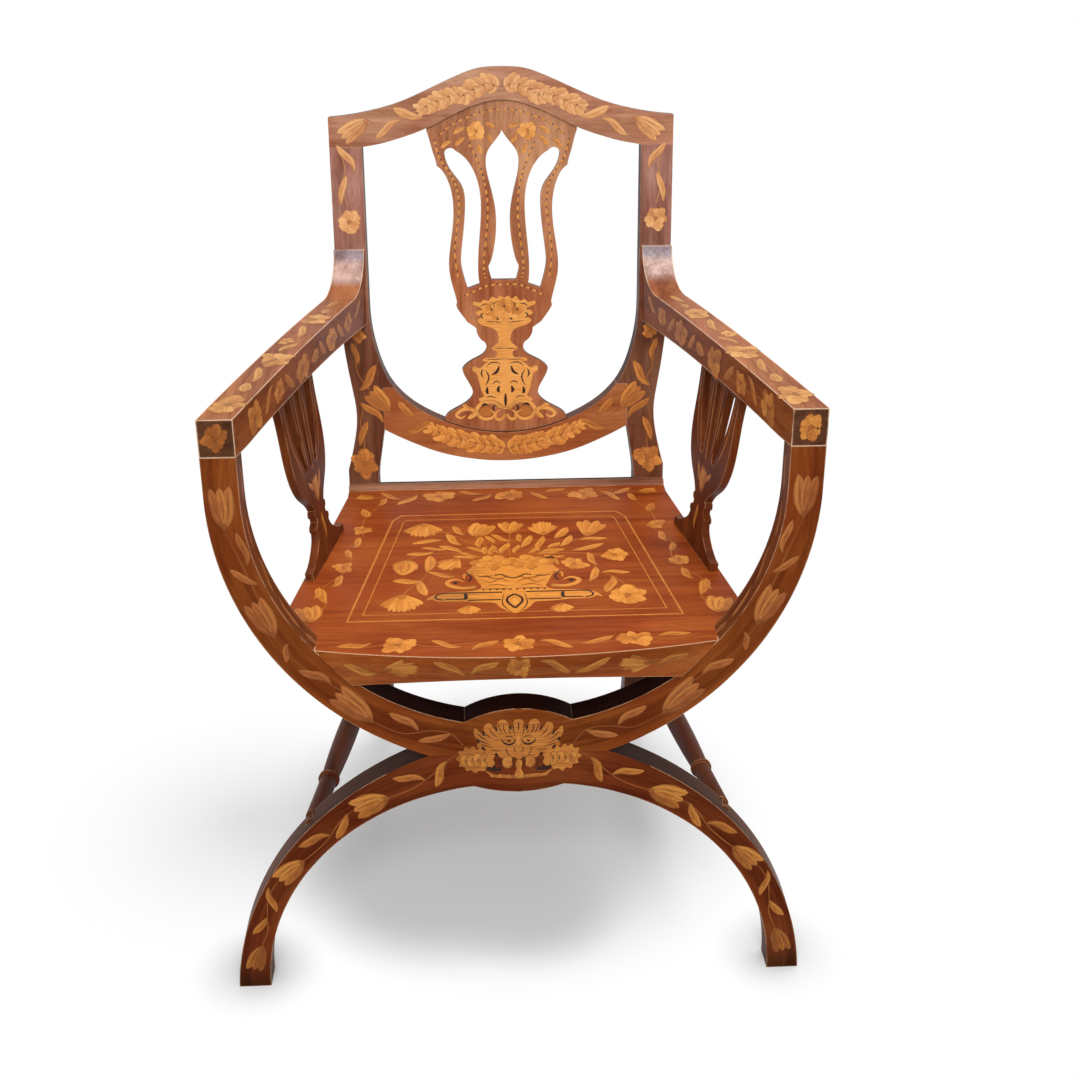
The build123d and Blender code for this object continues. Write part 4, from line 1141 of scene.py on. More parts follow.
                mid = ((root[0] + tip[0]) / 2 + 1.5, (root[1] + tip[1]) / 2)
                dark.lay(on_side(side, root, mid, tip), 0.9, Outline.LINE, steps=6)
            for k in range(4):
                x, z = 36 + 7 * k, 313 + (k % 2)
                low = on_side(side, (x, z - 9 + k), (x + 8, z + 1))
                sheet.disc(*low, 9, 3, 0.3 - 0.2 * (k % 2), 1, 0, 0.25)
                high = on_side(side, (x, z + 9 - k), (x + 8, z))
                sheet.disc(*high, 9, 3, 0.1 + 0.2 * (k % 2), 2, 0, 0.25)
                bend = on_side(side, (x + 1, z + 5), (x + 3, z), (x + 1, z - 5))
                dark.lay(bend, 0.9, Outline.LINE, steps=5)
            for arc, wide in (
                (((3, 340), (6, 335), (11, 333), (17, 336), (19, 341)), 2.2),
                (((5, 342), (10, 344), (16, 343)), 1.0), (((9, 339), (11, 337.6), (13, 339)), 2.2),
                (((3, 318), (7, 313), (6, 302)), 1.1), (((20, 317), (22, 309), (17, 301)), 1.1),
            ):
                dark.lay(on_side(side, *arc), wide, Outline.LINE, steps=12)
            dark.cut([(19, 299), (22, 304), (25, 302), (28, 307), (30, 303), (36, 305), (35, 300),
                      (30, 298), (24, 298)], paired=False, side=side)
        sheet.lay([(0, 314), (0, 306), (0, 298)], 8, Outline.BUD, 0.15, 2)
        sheet.lay([(0, 303), (0, 295), (0, 286)], 11, Outline.FAN, 0.1, 2)
        sheet.lay([(0, 330), (0, 338), (0, 346)], 7, Outline.BUD, 0.2, 2)
        dark.lay([(0, 352), (0, 358), (0, 363)], 1.4, Outline.LINE, steps=4)
        sheet.finish(inlay)
        dark.finish(self.ink.build())


@dataclass
class Seat:
    """The board with its panel of flowers, its rails and the moulding behind it."""

    top_z: float = 460.0
    half_chord: float = 219.6
    bow_rise: float = 25.0
    front_y: float = -270.0
    # the sitter has polished the panel and worn its edges to the bare wood, whose pale front edge
    # also stands in for the highlight of a rounded edge: a painted highlight
    board: Finish = MahoganyVeneer(
        "mahogany_seat_veneer", "#9b4c20", Grain.ACROSS, "#cdb9ab", shine=0.04, gloss=0.4, worn=1.0,
        spared=0.2, worn_bands=((1, -0.45, 0.188), (2, 0.46, 0.006)), bare="#e0b48c",
        faces=(
            Face((0, -1, 0), "#8b4a20"), Face((1, 0, 0), "#5d301a"), Face((-1, 0, 0), "#5d301a"),
        ),
    )
    rail: Finish = MahoganyVeneer(
        "mahogany_rail_veneer", "#8b4a20", Grain.ACROSS, worn_bands=((2, 0.415, 0.022),)
    )
    # water-stained beech: cool brown without figure, painted almost black as painted shade under
    # the seat
    under_rail: Finish = MahoganyVeneer(
        "stained_beech_rail", "#2c1a15", Grain.ACROSS, shine=0.04, worn=0.1
    )
    # a planed moulding that has lost most of its polish; its pale worn edges also stand in for the
    # grey highlight along it, a painted highlight
    bead: Finish = MahoganyVeneer(
        "mahogany_bead", "#926248", Grain.ACROSS, shine=0.1, bare="#d9b090", worn=0.9
    )
    inlay: Finish = SatinwoodInlay(
        "satinwood_seat_inlay", "#d2802f", "#b4671f", "#e69a41", seam=0.72
    )
    border_inlay: Finish = SatinwoodInlay(
        "satinwood_border_inlay", "#c8762b", "#a85f20", "#dd913d", seam=0.66
    )
    rail_inlay: Finish = SatinwoodInlay("satinwood_rail_inlay", "#9e6028", "#7e461c", "#b57a38")
    # boxwood lines: an even orange under the polish, with no grain to see
    string: Finish = PlainFinish("boxwood_string", "#cc7e30", "#b56c28", 0.4)
    ink: Finish = PlainFinish("ebony_strapwork_line", "#20100a", "#35190d", 0.4)
    # oak blocks as they were sawn: grey brown and matt
    oak: Finish = PlainFinish("unpolished_oak", "#5b4029", "#43301f", 0.7)
    # turned steel screws: grey, dulled by age
    steel: Finish = PlainFinish("steel_screw", "#8b8a87", "#6f6d6a", 0.42, 1.0)
    flowers: tuple[Placed, ...] = (
        (CARNATION, (-110, 46), (-112, 6), 50), (TULIP, (-44, 6), (-31, 42), 32),
        (LILY, (0, 12), (1, 48), 36), (CARNATION, (42, 5), (42, 46), 38),
        (LILY, (97, 0), (108, 46), 42), (ROSE, (122, -73), (131, -39), 32),
        (BUD, (-128, -58), (-132, -98), 36), (CARNATION, (-66, -56), (-86, -86), 32),
        (ROSE, (64, -64), (86, -92), 26), (CARNATION, (-130, -148), (-130, -190), 50),
        (ROSE, (130, -186), (132, -136), 42),
    )
    leaves: tuple[Placed, ...] = (
        (LEAF, (-57, 10), (-73, 37), 10), (LEAF, (-61, -19), (-81, 14), 12),
        (LEAF, (-85, -3), (-124, -13), -10), (LEAF, (-60, -40), (-90, -20), -11),
        (LEAF, (-95, -35), (-130, -43), 10), (LEAF, (-38, -28), (-37, 4), 11),
        (LEAF, (2, -11), (-25, 11), 9), (LEAF, (11, -31), (26, 5), -11),
        (LEAF, (35, -43), (42, 1), 10), (LEAF, (55, -6), (73, 26), -14),
        (LEAF, (61, -30), (77, 2), -11), (LEAF, (86, -13), (122, -8), 9),
        (LEAF, (74, -41), (116, -23), -11), (LEAF, (104, -82), (94, -47), 10),
        (LEAF, (90, -125), (101, -88), -11), (LEAF, (106, -103), (141, -104), 9),
        (LEAF, (117, -112), (107, -153), 13), (LEAF, (-103, -92), (-100, -47), -15),
        (LEAF, (-108, -112), (-143, -112), 13), (LEAF, (-110, -112), (-102, -151), -13),
        (LEAF, (57, -80), (40, -51), -10), (LEAF, (-68, -105), (-102, -90), 9),
        (LEAF, (35, -45), (67, -37), 9), (LEAF, (-12, -46), (-2, -16), 10),
        (LEAF, (-24, -50), (-23, -25), 9), (LEAF, (-30, -47), (-34, -25), 8),
        (LEAF, (-38, -52), (-66, -38), 7), (LEAF, (-44, -58), (-72, -50), -7),
        (LEAF, (-30, -44), (-56, -24), -8), (LEAF, (-14, -44), (-24, -20), 7),
        (LEAF, (4, -46), (10, -22), 7), (LEAF, (20, -47), (34, -30), -7),
        (LEAF, (30, -52), (58, -44), 7), (LEAF, (38, -58), (66, -56), -7),
        (LEAF, (46, -34), (62, -18), 8), (LEAF, (-76, -28), (-112, -24), 8),
        (LEAF, (-20, -16), (-32, 6), -8), (LEAF, (14, -14), (10, 10), 8),
    )
    border: tuple[Placed, ...] = (
        (LEAF, (-158, -257), (-196, -263), 11), (ROSE, (-150, -263), (-108, -262), 26),
        (LEAF, (-60, -270), (-94, -255), 10), (LEAF, (-50, -279), (-20, -259), 10),
        (ROSE, (-19, -268), (19, -266), 28), (LEAF, (24, -261), (60, -278), 10),
        (LEAF, (68, -270), (106, -255), -10), (ROSE, (108, -262), (150, -262), 26),
        (LEAF, (154, -259), (192, -253), 10), (ROSE, (-112, 128), (-72, 136), 30),
        (LEAF, (-122, 140), (-148, 108), 11), (LEAF, (-142, 126), (-172, 149), 10),
        (LEAF, (-36, 140), (-66, 147), 9), (LEAF, (-22, 138), (-48, 114), 10),
        (ROSE, (-17, 129), (22, 135), 30), (LEAF, (30, 143), (54, 117), -10),
        (LEAF, (50, 138), (80, 149), 9), (ROSE, (82, 128), (123, 136), 30),
        (LEAF, (124, 140), (150, 108), 10), (LEAF, (140, 128), (168, 149), -10),
        (TULIP, (-178, 132), (-203, 138), 15), (TULIP, (178, 134), (203, 140), 15),
    )
    edge: tuple[Placed, ...] = (
        (LEAF, (174, 106), (163, 130), 10), (BUD, (184, 70), (192, 96), 15),
        (ROSE, (183, 18), (194, 44), 19), (LEAF, (197, -20), (190, 10), 10),
        (LEAF, (196, -50), (203, -24), -10), (ROSE, (199, -88), (210, -60), 21),
        (LEAF, (214, -124), (204, -94), 11), (LEAF, (216, -166), (224, -128), -12),
        (TULIP, (230, -206), (238, -170), 30), (LEAF, (232, -152), (228, -124), 9),
    )

    def build(self) -> None:
        """Dresses the seat and lays its marquetry."""
        dress(self.board.build(), "seat_board")
        dress(self.rail.build(), "front_rail")
        dress(self.under_rail.build(), "rear_rail", "side_rail_")
        dress(self.oak.build(), "corner_block_front_", "corner_block_rear_")
        dress(self.bead.build(), "seat_bead")
        dress(self.steel.build(), "seat_screws")
        dress(self.string.build(), "seat_inlay_line", "seat_inlay_fine_line")
        top = FlatGround(Vector((0, 0, self.top_z)), RIGHTWARD, BACKWARD)
        inlay = self.inlay.build()
        self.lay_flowers(top, inlay, self.border_inlay.build())
        self.lay_urn(top, inlay)
        self.lay_rail()

    def lay_flowers(self, top: Ground, inlay: Material, border: Material) -> None:
        """Lays the flowers of the panel and the border.

        Args:
            top: The top of the seat.
            inlay: The finish of the panel's light veneer.
            border: The finish of the border's.
        """
        Marquetry("seat_flower_marquetry", top).trail(self.leaves + self.flowers, [
            [(-5, -60), (-30, -25), (-44, 6)], [(-2, -60), (-3, -25), (0, 12)],
            [(5, -60), (26, -30), (42, 5)], [(10, -62), (58, -28), (97, 0)],
            [(15, -65), (66, -46), (113, -58)], [(-10, -62), (-52, -12), (-84, 20), (-110, 46)],
            [(-15, -65), (-66, -42), (-108, -44), (-128, -58)],
            [(-20, -70), (-48, -52), (-66, -56)],
            [(20, -70), (44, -52), (64, -64)], [(-62, -104), (-84, -97), (-102, -92), (-106, -75)],
            [(-102, -95), (-112, -118), (-122, -132), (-130, -150)],
            [(100, -70), (99, -92), (92, -112)],
            [(92, -112), (108, -104), (122, -116), (131, -134)],
        ]).finish(inlay)
        Marquetry("seat_border_marquetry", top).trail(self.border, [
            [(-205, -262), (-170, -268), (-130, -258), (-90, -268), (-45, -262), (0, -272)],
            [(0, -272), (45, -264), (90, -268), (130, -258), (170, -264), (200, -254)],
            [(-190, 128), (-150, 138), (-110, 124), (-60, 140), (0, 124)],
            [(0, 124), (60, 140), (110, 124), (150, 138), (190, 128)],
        ]).finish(border)
        for side, ground in both_sides(top):
            Marquetry(f"seat_side_marquetry_{side}", ground).trail(self.edge, [
                [(172, 100), (188, 62), (186, 14)],
                [(190, 10), (203, -30), (196, -60), (207, -100)],
                [(207, -100), (226, -130), (216, -165), (230, -204)],
            ]).finish(border)

    def lay_urn(self, top: Ground, inlay: Material) -> None:
        """Lays the basket of flowers and its strapwork stand.

        Args:
            top: The top of the seat.
            inlay: The finish of the light veneer.
        """
        sheet = Marquetry("seat_urn_marquetry", top, 0.12)
        dark = Marquetry("seat_urn_ebony", top, 0.4)
        sheet.cut([
            (0, -56), (7, -60), (12, -52), (20, -50), (27, -56), (34, -58), (42, -62), (47, -70),
            (50, -82), (56, -92), (50, -98), (47, -104), (42, -120), (38, -133), (46, -141),
            (66, -143), (84, -146), (96, -152), (102, -163), (95, -160), (88, -166), (62, -167),
            (44, -170), (24, -172), (18, -182), (11, -190), (0, -198),
        ], 0.0, 0)
        for k in range(13):
            x, y = -46 + 7.6 * k, -70 - 12 * (k % 2) + 6 * (k % 3)
            tone, level = 0.2 * (k % 3) - 0.2, 1 + k % 2
            sheet.disc((x, y - 9), (x + 2, y + 9), 15, 4 + k % 3, tone, level, 0, 0.3)
        for side in (-1, 1):
            scroll = on_side(
                side, (44, -132), (60, -134), (74, -128), (78, -118), (68, -112), (58, -119)
            )
            sheet.lay(scroll, 8, Outline.TAPER, 0.1, 1, 0, 16)
            sheet.lay(on_side(side, (48, -96), (58, -100), (58, -112)), 5, Outline.TAPER, 0, 1)
            for arc, wide in (
                (((6, -104), (14, -112), (26, -110), (32, -104), (40, -108)), 2.6),
                (((4, -122), (16, -114), (28, -122), (38, -114)), 2.2),
                (((8, -132), (20, -127), (34, -132)), 2.0),
            ):
                sheet.lay(on_side(side, *arc), wide, Outline.LINE, -1.2, 2, 0.35, 14)
            sheet.stamp(CARNATION, *on_side(side, (53, -178), (53, -199)), 28)
            sheet.lay(on_side(side, (24, -156), (40, -156), (54, -156)), 5, Outline.ROUND, 0.3, 1)
            for arc, wide in (
                (((14, -147), (46, -147), (82, -147), (91, -153), (90, -160), (82, -163)), 2.2),
                (((56, -162), (66, -162), (80, -162)), 2.0),
                (((57, -149), (56, -156), (57, -163)), 4.0),
                (((16, -165), (36, -165), (54, -165)), 2.4),
                (((66, -120), (69, -122), (70, -118)), 3.2),
                (((56, -96), (50, -108), (53, -119)), 2.0),
                (((0, -152), (8, -161), (8, -172), (0, -186)), 2.8),
                (((0, -112), (8, -108), (14, -102), (22, -104)), 2.0),
                (((24, -104), (34, -107), (46, -103)), 1.4),
                (((2, -138), (20, -138), (40, -138)), 1.2),
                (((12, -150), (14, -176), (4, -196)), 1.2),
            ):
                outline = Outline.LINE if wide < 1.8 else Outline.STRIP
                dark.lay(on_side(side, *arc), wide, outline, steps=14)
            for k in range(5):
                dark.disc(*on_side(side, (4 + 8 * k, -139), (4 + 8 * k, -141.5)), 3, 3)
        sheet.disc((0, -158), (0, -180), 9, 2, 0.3, 2, depth=0.05)
        sheet.finish(inlay)
        dark.finish(self.ink.build())

    def lay_rail(self) -> None:
        """Lays the trail of flowers round the bowed front rail and the board's edge."""
        bow = BowedGround(self.half_chord, self.bow_rise, self.front_y)
        Marquetry("front_rail_marquetry", bow, 0.06).trail([
            (LEAF, (-152, 438), (-190, 446), 10), (CARNATION, (-146, 442), (-106, 446), 22),
            (LEAF, (-56, 437), (-92, 454), -9), (LEAF, (-52, 438), (-20, 454), 9),
            (ROSE, (-15, 446.5), (15, 446.5), 20), (LEAF, (22, 454), (56, 438), 9),
            (LEAF, (60, 438), (100, 454), -9), (CARNATION, (146, 442), (108, 445), 22),
            (LEAF, (152, 437), (188, 448), 10),
        ], [
            [(-190, 436), (-150, 447), (-100, 440), (-55, 442), (0, 438)],
            [(0, 438), (55, 444), (100, 440), (150, 446), (190, 436)],
        ]).finish(self.rail_inlay.build())


@dataclass
class Back:
    """Crest, stiles, shield rail and the pierced splat."""

    seat_z: float = 460.0
    foot_y: float = 168.0
    rake: float = math.radians(5)
    splat_setback: float = 7.0
    aged: float = -0.4  # the shield's veneer has darkened more than the crest's
    leaf_lobes: int = 9
    dash_pitch: float = 9.5
    dash_width: float = 3.0
    dot_size: float = 1.8
    # the stiles' fronts turn pale pink from 0.66 m up: a painted sheen
    stile: Finish = MahoganyVeneer(
        "mahogany_stile_veneer", "#744a35", Grain.UPRIGHT, shine=0.05,
        faces=(Face((0, -1, 0), "#a97b6d", 0.66, 0.86),),
        flank=((0.3, "#4b3026"), (0.8, "#4f3327"), (1.0, "#6a4937")),
    )
    # the crest's pinkish tan is painted sheen: the milky reflection of its polish is put into its
    # colour
    crest: Finish = MahoganyVeneer(
        "mahogany_crest_veneer", "#b38368", Grain.ACROSS, "#cdb9ab", shine=0.05,
        flank=((0.4, "#593526"), (0.6, "#5e3a2a"), (0.97, "#7b5642")),
    )
    shield: Finish = MahoganyVeneer(
        "mahogany_shield_veneer", "#a36339", Grain.ACROSS, "#cdb9ab", shine=0.05,
        flank=((0.4, "#593526"), (1.0, "#5e3a2a")),
    )
    # the splat's front turns paler and pinker from 0.72 m up, a painted sheen, and the sides of its
    # piercings are painted dark, a painted shade
    splat: Finish = MahoganyVeneer(
        "mahogany_splat_veneer", "#ae704b", Grain.UPRIGHT, "#cdb9ab", shine=0.05,
        faces=(Face((0, -1, 0), "#b98562", 0.72, 0.9),),
        flank=((0.4, "#4d2a1a"), (1.0, "#6b4029")),
    )
    inlay: Finish = SatinwoodInlay(
        "satinwood_back_inlay", "#d6985e", "#b77346", "#e9b077", "#5a2e18", seam=0.6
    )
    shield_inlay: Finish = SatinwoodInlay(
        "satinwood_shield_inlay", "#d88b40", "#a9652e", "#eaa251", "#5a2e18", seam=0.6
    )
    splat_inlay: Finish = SatinwoodInlay(
        "satinwood_splat_inlay", "#dc9243", "#b46c2e", "#ecaa5c", "#5a2e18", seam=0.6
    )
    ink: Finish = PlainFinish("ebony_splat_line", "#2a1710", "#3b2015", 0.4)
    high_motifs: tuple[Placed, ...] = (
        (LEAF, (188, 424), (210, 458), 10), (LEAF, (208, 382), (199, 420), -9),
        (ROSE, (184, 361), (213, 361), 29), (TULIP, (170, 488), (204, 466), 22),
        (LEAF, (99, 490), (137, 503), -12), (LEAF, (126, 488), (160, 466), 10),
    )
    low_motifs: tuple[Placed, ...] = (
        (LEAF, (190, 290), (205, 326), 9), (LEAF, (192, 234), (188, 268), 9),
        (ROSE, (184, 212), (202, 212), 19), (LEAF, (196, 137), (172, 172), 12),
        (TULIP, (157, 109), (183, 137), 25), (LEAF, (165, 91), (195, 120), 10),
        (LEAF, (198, 59), (186, 94), -10), (ROSE, (193, 16), (193, 54), 32),
        (LEAF, (197, 172), (203, 203), 8), (LEAF, (122, 98), (145, 121), -11),
        (LEAF, (137, 80), (99, 92), 11),
    )

    def build(self) -> None:
        """Dresses the back and lays its marquetry."""
        dress(self.stile.build(), "rear_post_")
        dress(self.crest.build(), "crest_rail")
        dress(self.shield.build(), "shield_rail")
        dress(self.splat.build(), "back_splat")
        up = Vector((0, math.sin(self.rake), math.cos(self.rake)))
        face = FlatGround(Vector((0, self.foot_y, self.seat_z)), RIGHTWARD, up)
        inlay, lower = self.inlay.build(), self.shield_inlay.build()
        for side, ground in both_sides(face):
            sheet = Marquetry(f"crest_marquetry_{side}", ground)
            sheet.trail(self.high_motifs, [
                [(206, 456), (201, 430), (204, 405), (199, 380)],
                [(168, 488), (150, 482), (126, 492), (104, 500)],
            ])
            self.acanthus(sheet, [(4, 527), (16, 531), (31, 527), (45, 519), (53, 516)], 24)
            self.acanthus(sheet, [(47, 518), (60, 518), (76, 513), (92, 506), (104, 500)], 23)
            sheet.finish(inlay)
            sheet = Marquetry(f"shield_marquetry_{side}", ground)
            sheet.trail(self.low_motifs, [
                [(190, 268), (186, 240), (193, 214), (199, 190), (196, 160), (182, 138)],
                [(190, 118), (196, 92), (192, 70), (193, 48)],
                [(154, 106), (140, 96), (118, 90), (100, 78)],
            ], self.aged)
            self.acanthus(sheet, [(3, 52), (16, 56), (34, 59), (50, 63)], 27)
            self.acanthus(sheet, [(44, 61), (60, 66), (80, 72), (104, 84)], 24)
            sheet.finish(lower)
        set_face = FlatGround(face.place(0, 0, -self.splat_setback), RIGHTWARD, up)
        self.lay_splat(set_face, self.splat_inlay.build())

    def acanthus(self, sheet: Marquetry, rib: list[Point], width: float) -> None:
        """Lays a serrated leaf: its body, lobes down both sides, dark eyes at every other lobe and
        a small leaf at its tip.

        Args:
            sheet: The sheet.
            rib: The leaf's middle line.
            width: Its full width.
        """
        line = tuple(Vector(p) for p in rib)
        sheet.lay(rib, width * 0.66, Outline.PETAL, 0.0, 0, 0, 24)
        for k in range(self.leaf_lobes):
            share = (k + 0.1) / self.leaf_lobes
            ahead = (along(line, share + 0.05) - along(line, share - 0.05)).normalized()
            root = along(line, share)
            for side in (-1, 1):
                size = width * 0.78 * math.sin(math.pi * (0.24 + 0.62 * share)) ** 0.6
                size *= sheet.dice.uniform(0.82, 1.1)
                out = Vector((-ahead.y, ahead.x)) * side
                tip = root + (ahead * sheet.dice.uniform(0.55, 0.9) + out * 0.62) * size
                mid = root + (ahead * 0.3 + out * 0.38) * size
                tone = 0.2 - 0.3 * (k % 2)
                sheet.lay([root, mid, tip], size * 0.46, Outline.PETAL, tone, 1 + k % 2)
            if k % 2:
                sheet.disc(root, root + ahead * 2.2, 1.9, 2, 0, 5, 0.85, 0.0)
        sheet.stamp(LEAF, along(line, 0.82), along(line, 1.0) + ahead * 4, width * 0.3, 0.1, 4)

    def lay_splat(self, face: Ground, inlay: Material) -> None:
        """Lays the urn, its pedestal and the dotted strings on the splat.

        Args:
            face: The front face of the splat.
            inlay: The finish of the light veneer.
        """
        sheet = Marquetry("splat_marquetry", face)
        dots = Marquetry("splat_ebony", face, 0.34)
        sheet.cut([
            (0, 258), (5, 261), (10, 257), (16, 260), (21, 254), (27, 256), (32, 252), (40, 254),
            (41, 249), (33, 246), (29, 242), (36, 241), (37, 236), (30, 233), (36, 228), (30, 222),
            (20, 219), (11, 214), (8, 205), (9, 198), (15, 193), (17, 189), (11, 186), (11, 180),
            (15, 177), (27, 177), (28, 172), (0, 172),
        ], 0.1, 0)
        sheet.cut([
            (0, 173), (16, 173), (27, 169), (34, 163), (42, 166), (44, 160), (38, 155), (35, 143),
            (32, 131), (29, 124), (36, 121), (34, 116), (22, 117), (11, 115), (7, 107), (0, 106),
        ], 0.15, 1)
        for x, z, r in ((-17, 243, 9), (0, 247, 11), (17, 243, 9), (-9, 230, 8), (9, 230, 8)):
            sheet.stamp(ROSE, (x, z - r), (x, z + r), 2 * r, 0.15 - 0.3 * (z > 240), 1)
            dots.disc((x - 1.4, z), (x + 1.4, z), 2.4, 2, depth=0.1)
        for side in (-1, 1):
            sheet.disc(*on_side(side, (15, 102), (37, 103)), 17, 2, -0.8, 1, depth=0.04)
            for points, width, outline, tone in (
                (
                    ((3, 106), (16, 116), (33, 114), (40, 103), (32, 93), (20, 93), (15, 100),
                     (22, 105)), 6.4, Outline.TAPER, 0.3,
                ),
                (((1, 99), (6, 92), (13, 93), (13, 101), (7, 105)), 5.4, Outline.TAPER, 0.2),
                (
                    ((36, 97), (46, 106), (58, 106), (67, 99), (61, 94), (54, 98)),
                    6.2, Outline.TAPER, 0.3,
                ),
                (((38, 105), (44, 98), (52, 93)), 7.0, Outline.LEAF, 0.1),
                (((47, 104), (53, 110), (59, 112)), 6.0, Outline.LEAF, 0.1),
            ):
                sheet.lay(on_side(side, *points), width, outline, tone, 2, 0, 18)
            for points, width in (
                (((6, 169), (12, 171), (20, 170), (25, 165)), 1.4),
                (((8, 166), (11, 158), (18, 154)), 3.4), (((26, 160), (22, 150), (27, 138)), 1.8),
                (((6, 142), (12, 145), (17, 141)), 1.4), (((8, 138), (10, 133), (8, 129)), 4.0),
                (((24, 137), (25, 131), (23, 127)), 3.6), (((30, 162), (32, 156), (30, 150)), 2.0),
                (((12, 121), (20, 124), (27, 122)), 1.2), (((24, 112), (29, 113), (33, 110)), 3.0),
                (((14, 112), (17, 108), (15, 104)), 2.4), (((9, 254), (14, 250), (12, 244)), 1.0),
                (((20, 250), (27, 250), (31, 246)), 1.2), (((27, 238), (31, 236), (28, 230)), 1.6),
                (((3, 225), (14, 226), (26, 227)), 0.9), (((0, 190), (7, 190), (15, 190)), 0.9),
                (((0, 175), (13, 175), (26, 175)), 0.8),
            ):
                dots.lay(on_side(side, *points), width, Outline.LINE, steps=8)
            sheet.rose(*on_side(side, (33, 461), (33, 485)), 24, 0.1, 1)
            for root, tip in (
                ((46, 478), (62, 470)), ((46, 466), (60, 455)), ((22, 484), (8, 478)),
                ((30, 458), (26, 444)), ((18, 470), (12, 458)), ((64, 462), (78, 452)),
            ):
                sheet.stamp(LEAF, *on_side(side, root, tip), side * 6, -0.1, 1)
            for rib in (
                ((24, 284), (26, 303), (22, 340), (19.3, 376), (23, 408), (30, 432), (42, 458)),
                ((60, 285), (63.5, 318), (60, 348), (56.5, 378), (59, 402), (68, 421), (80, 440),
                 (86, 462)),
                ((2, 500), (22, 497), (44, 490), (64, 481), (80, 468)),
                ((2, 276), (20, 275), (36, 269), (52, 261)),
            ):
                self.dotted(sheet, dots, tuple(map(Vector, on_side(side, *rib))))
        dots.lay([(0, 128), (0, 119), (0, 108)], 3.6, Outline.LINE, steps=8)
        sheet.finish(inlay)
        dots.finish(self.ink.build())

    def dotted(self, sheet: Marquetry, dots: Marquetry, line: tuple[Vector, ...]) -> None:
        """Lays a string of short light lozenges, each with a dark dot after it.

        Args:
            sheet: The light veneer.
            dots: The dark veneer.
            line: The string's points.
        """
        length = sum((b - a).length for a, b in zip(line, line[1:]))
        count = max(1, round(length / self.dash_pitch))
        for k in range(count):
            a, b = (k + 0.1) / count, (k + 0.72) / count
            dash = [along(line, a), along(line, (a + b) / 2), along(line, b)]
            sheet.lay(dash, self.dash_width, Outline.ROUND, -0.1, 1, 0, 4)
            dot = along(line, (k + 0.88) / count)
            dots.disc(dot, dot + Vector((0, self.dot_size)), self.dot_size, 2, depth=0.0)


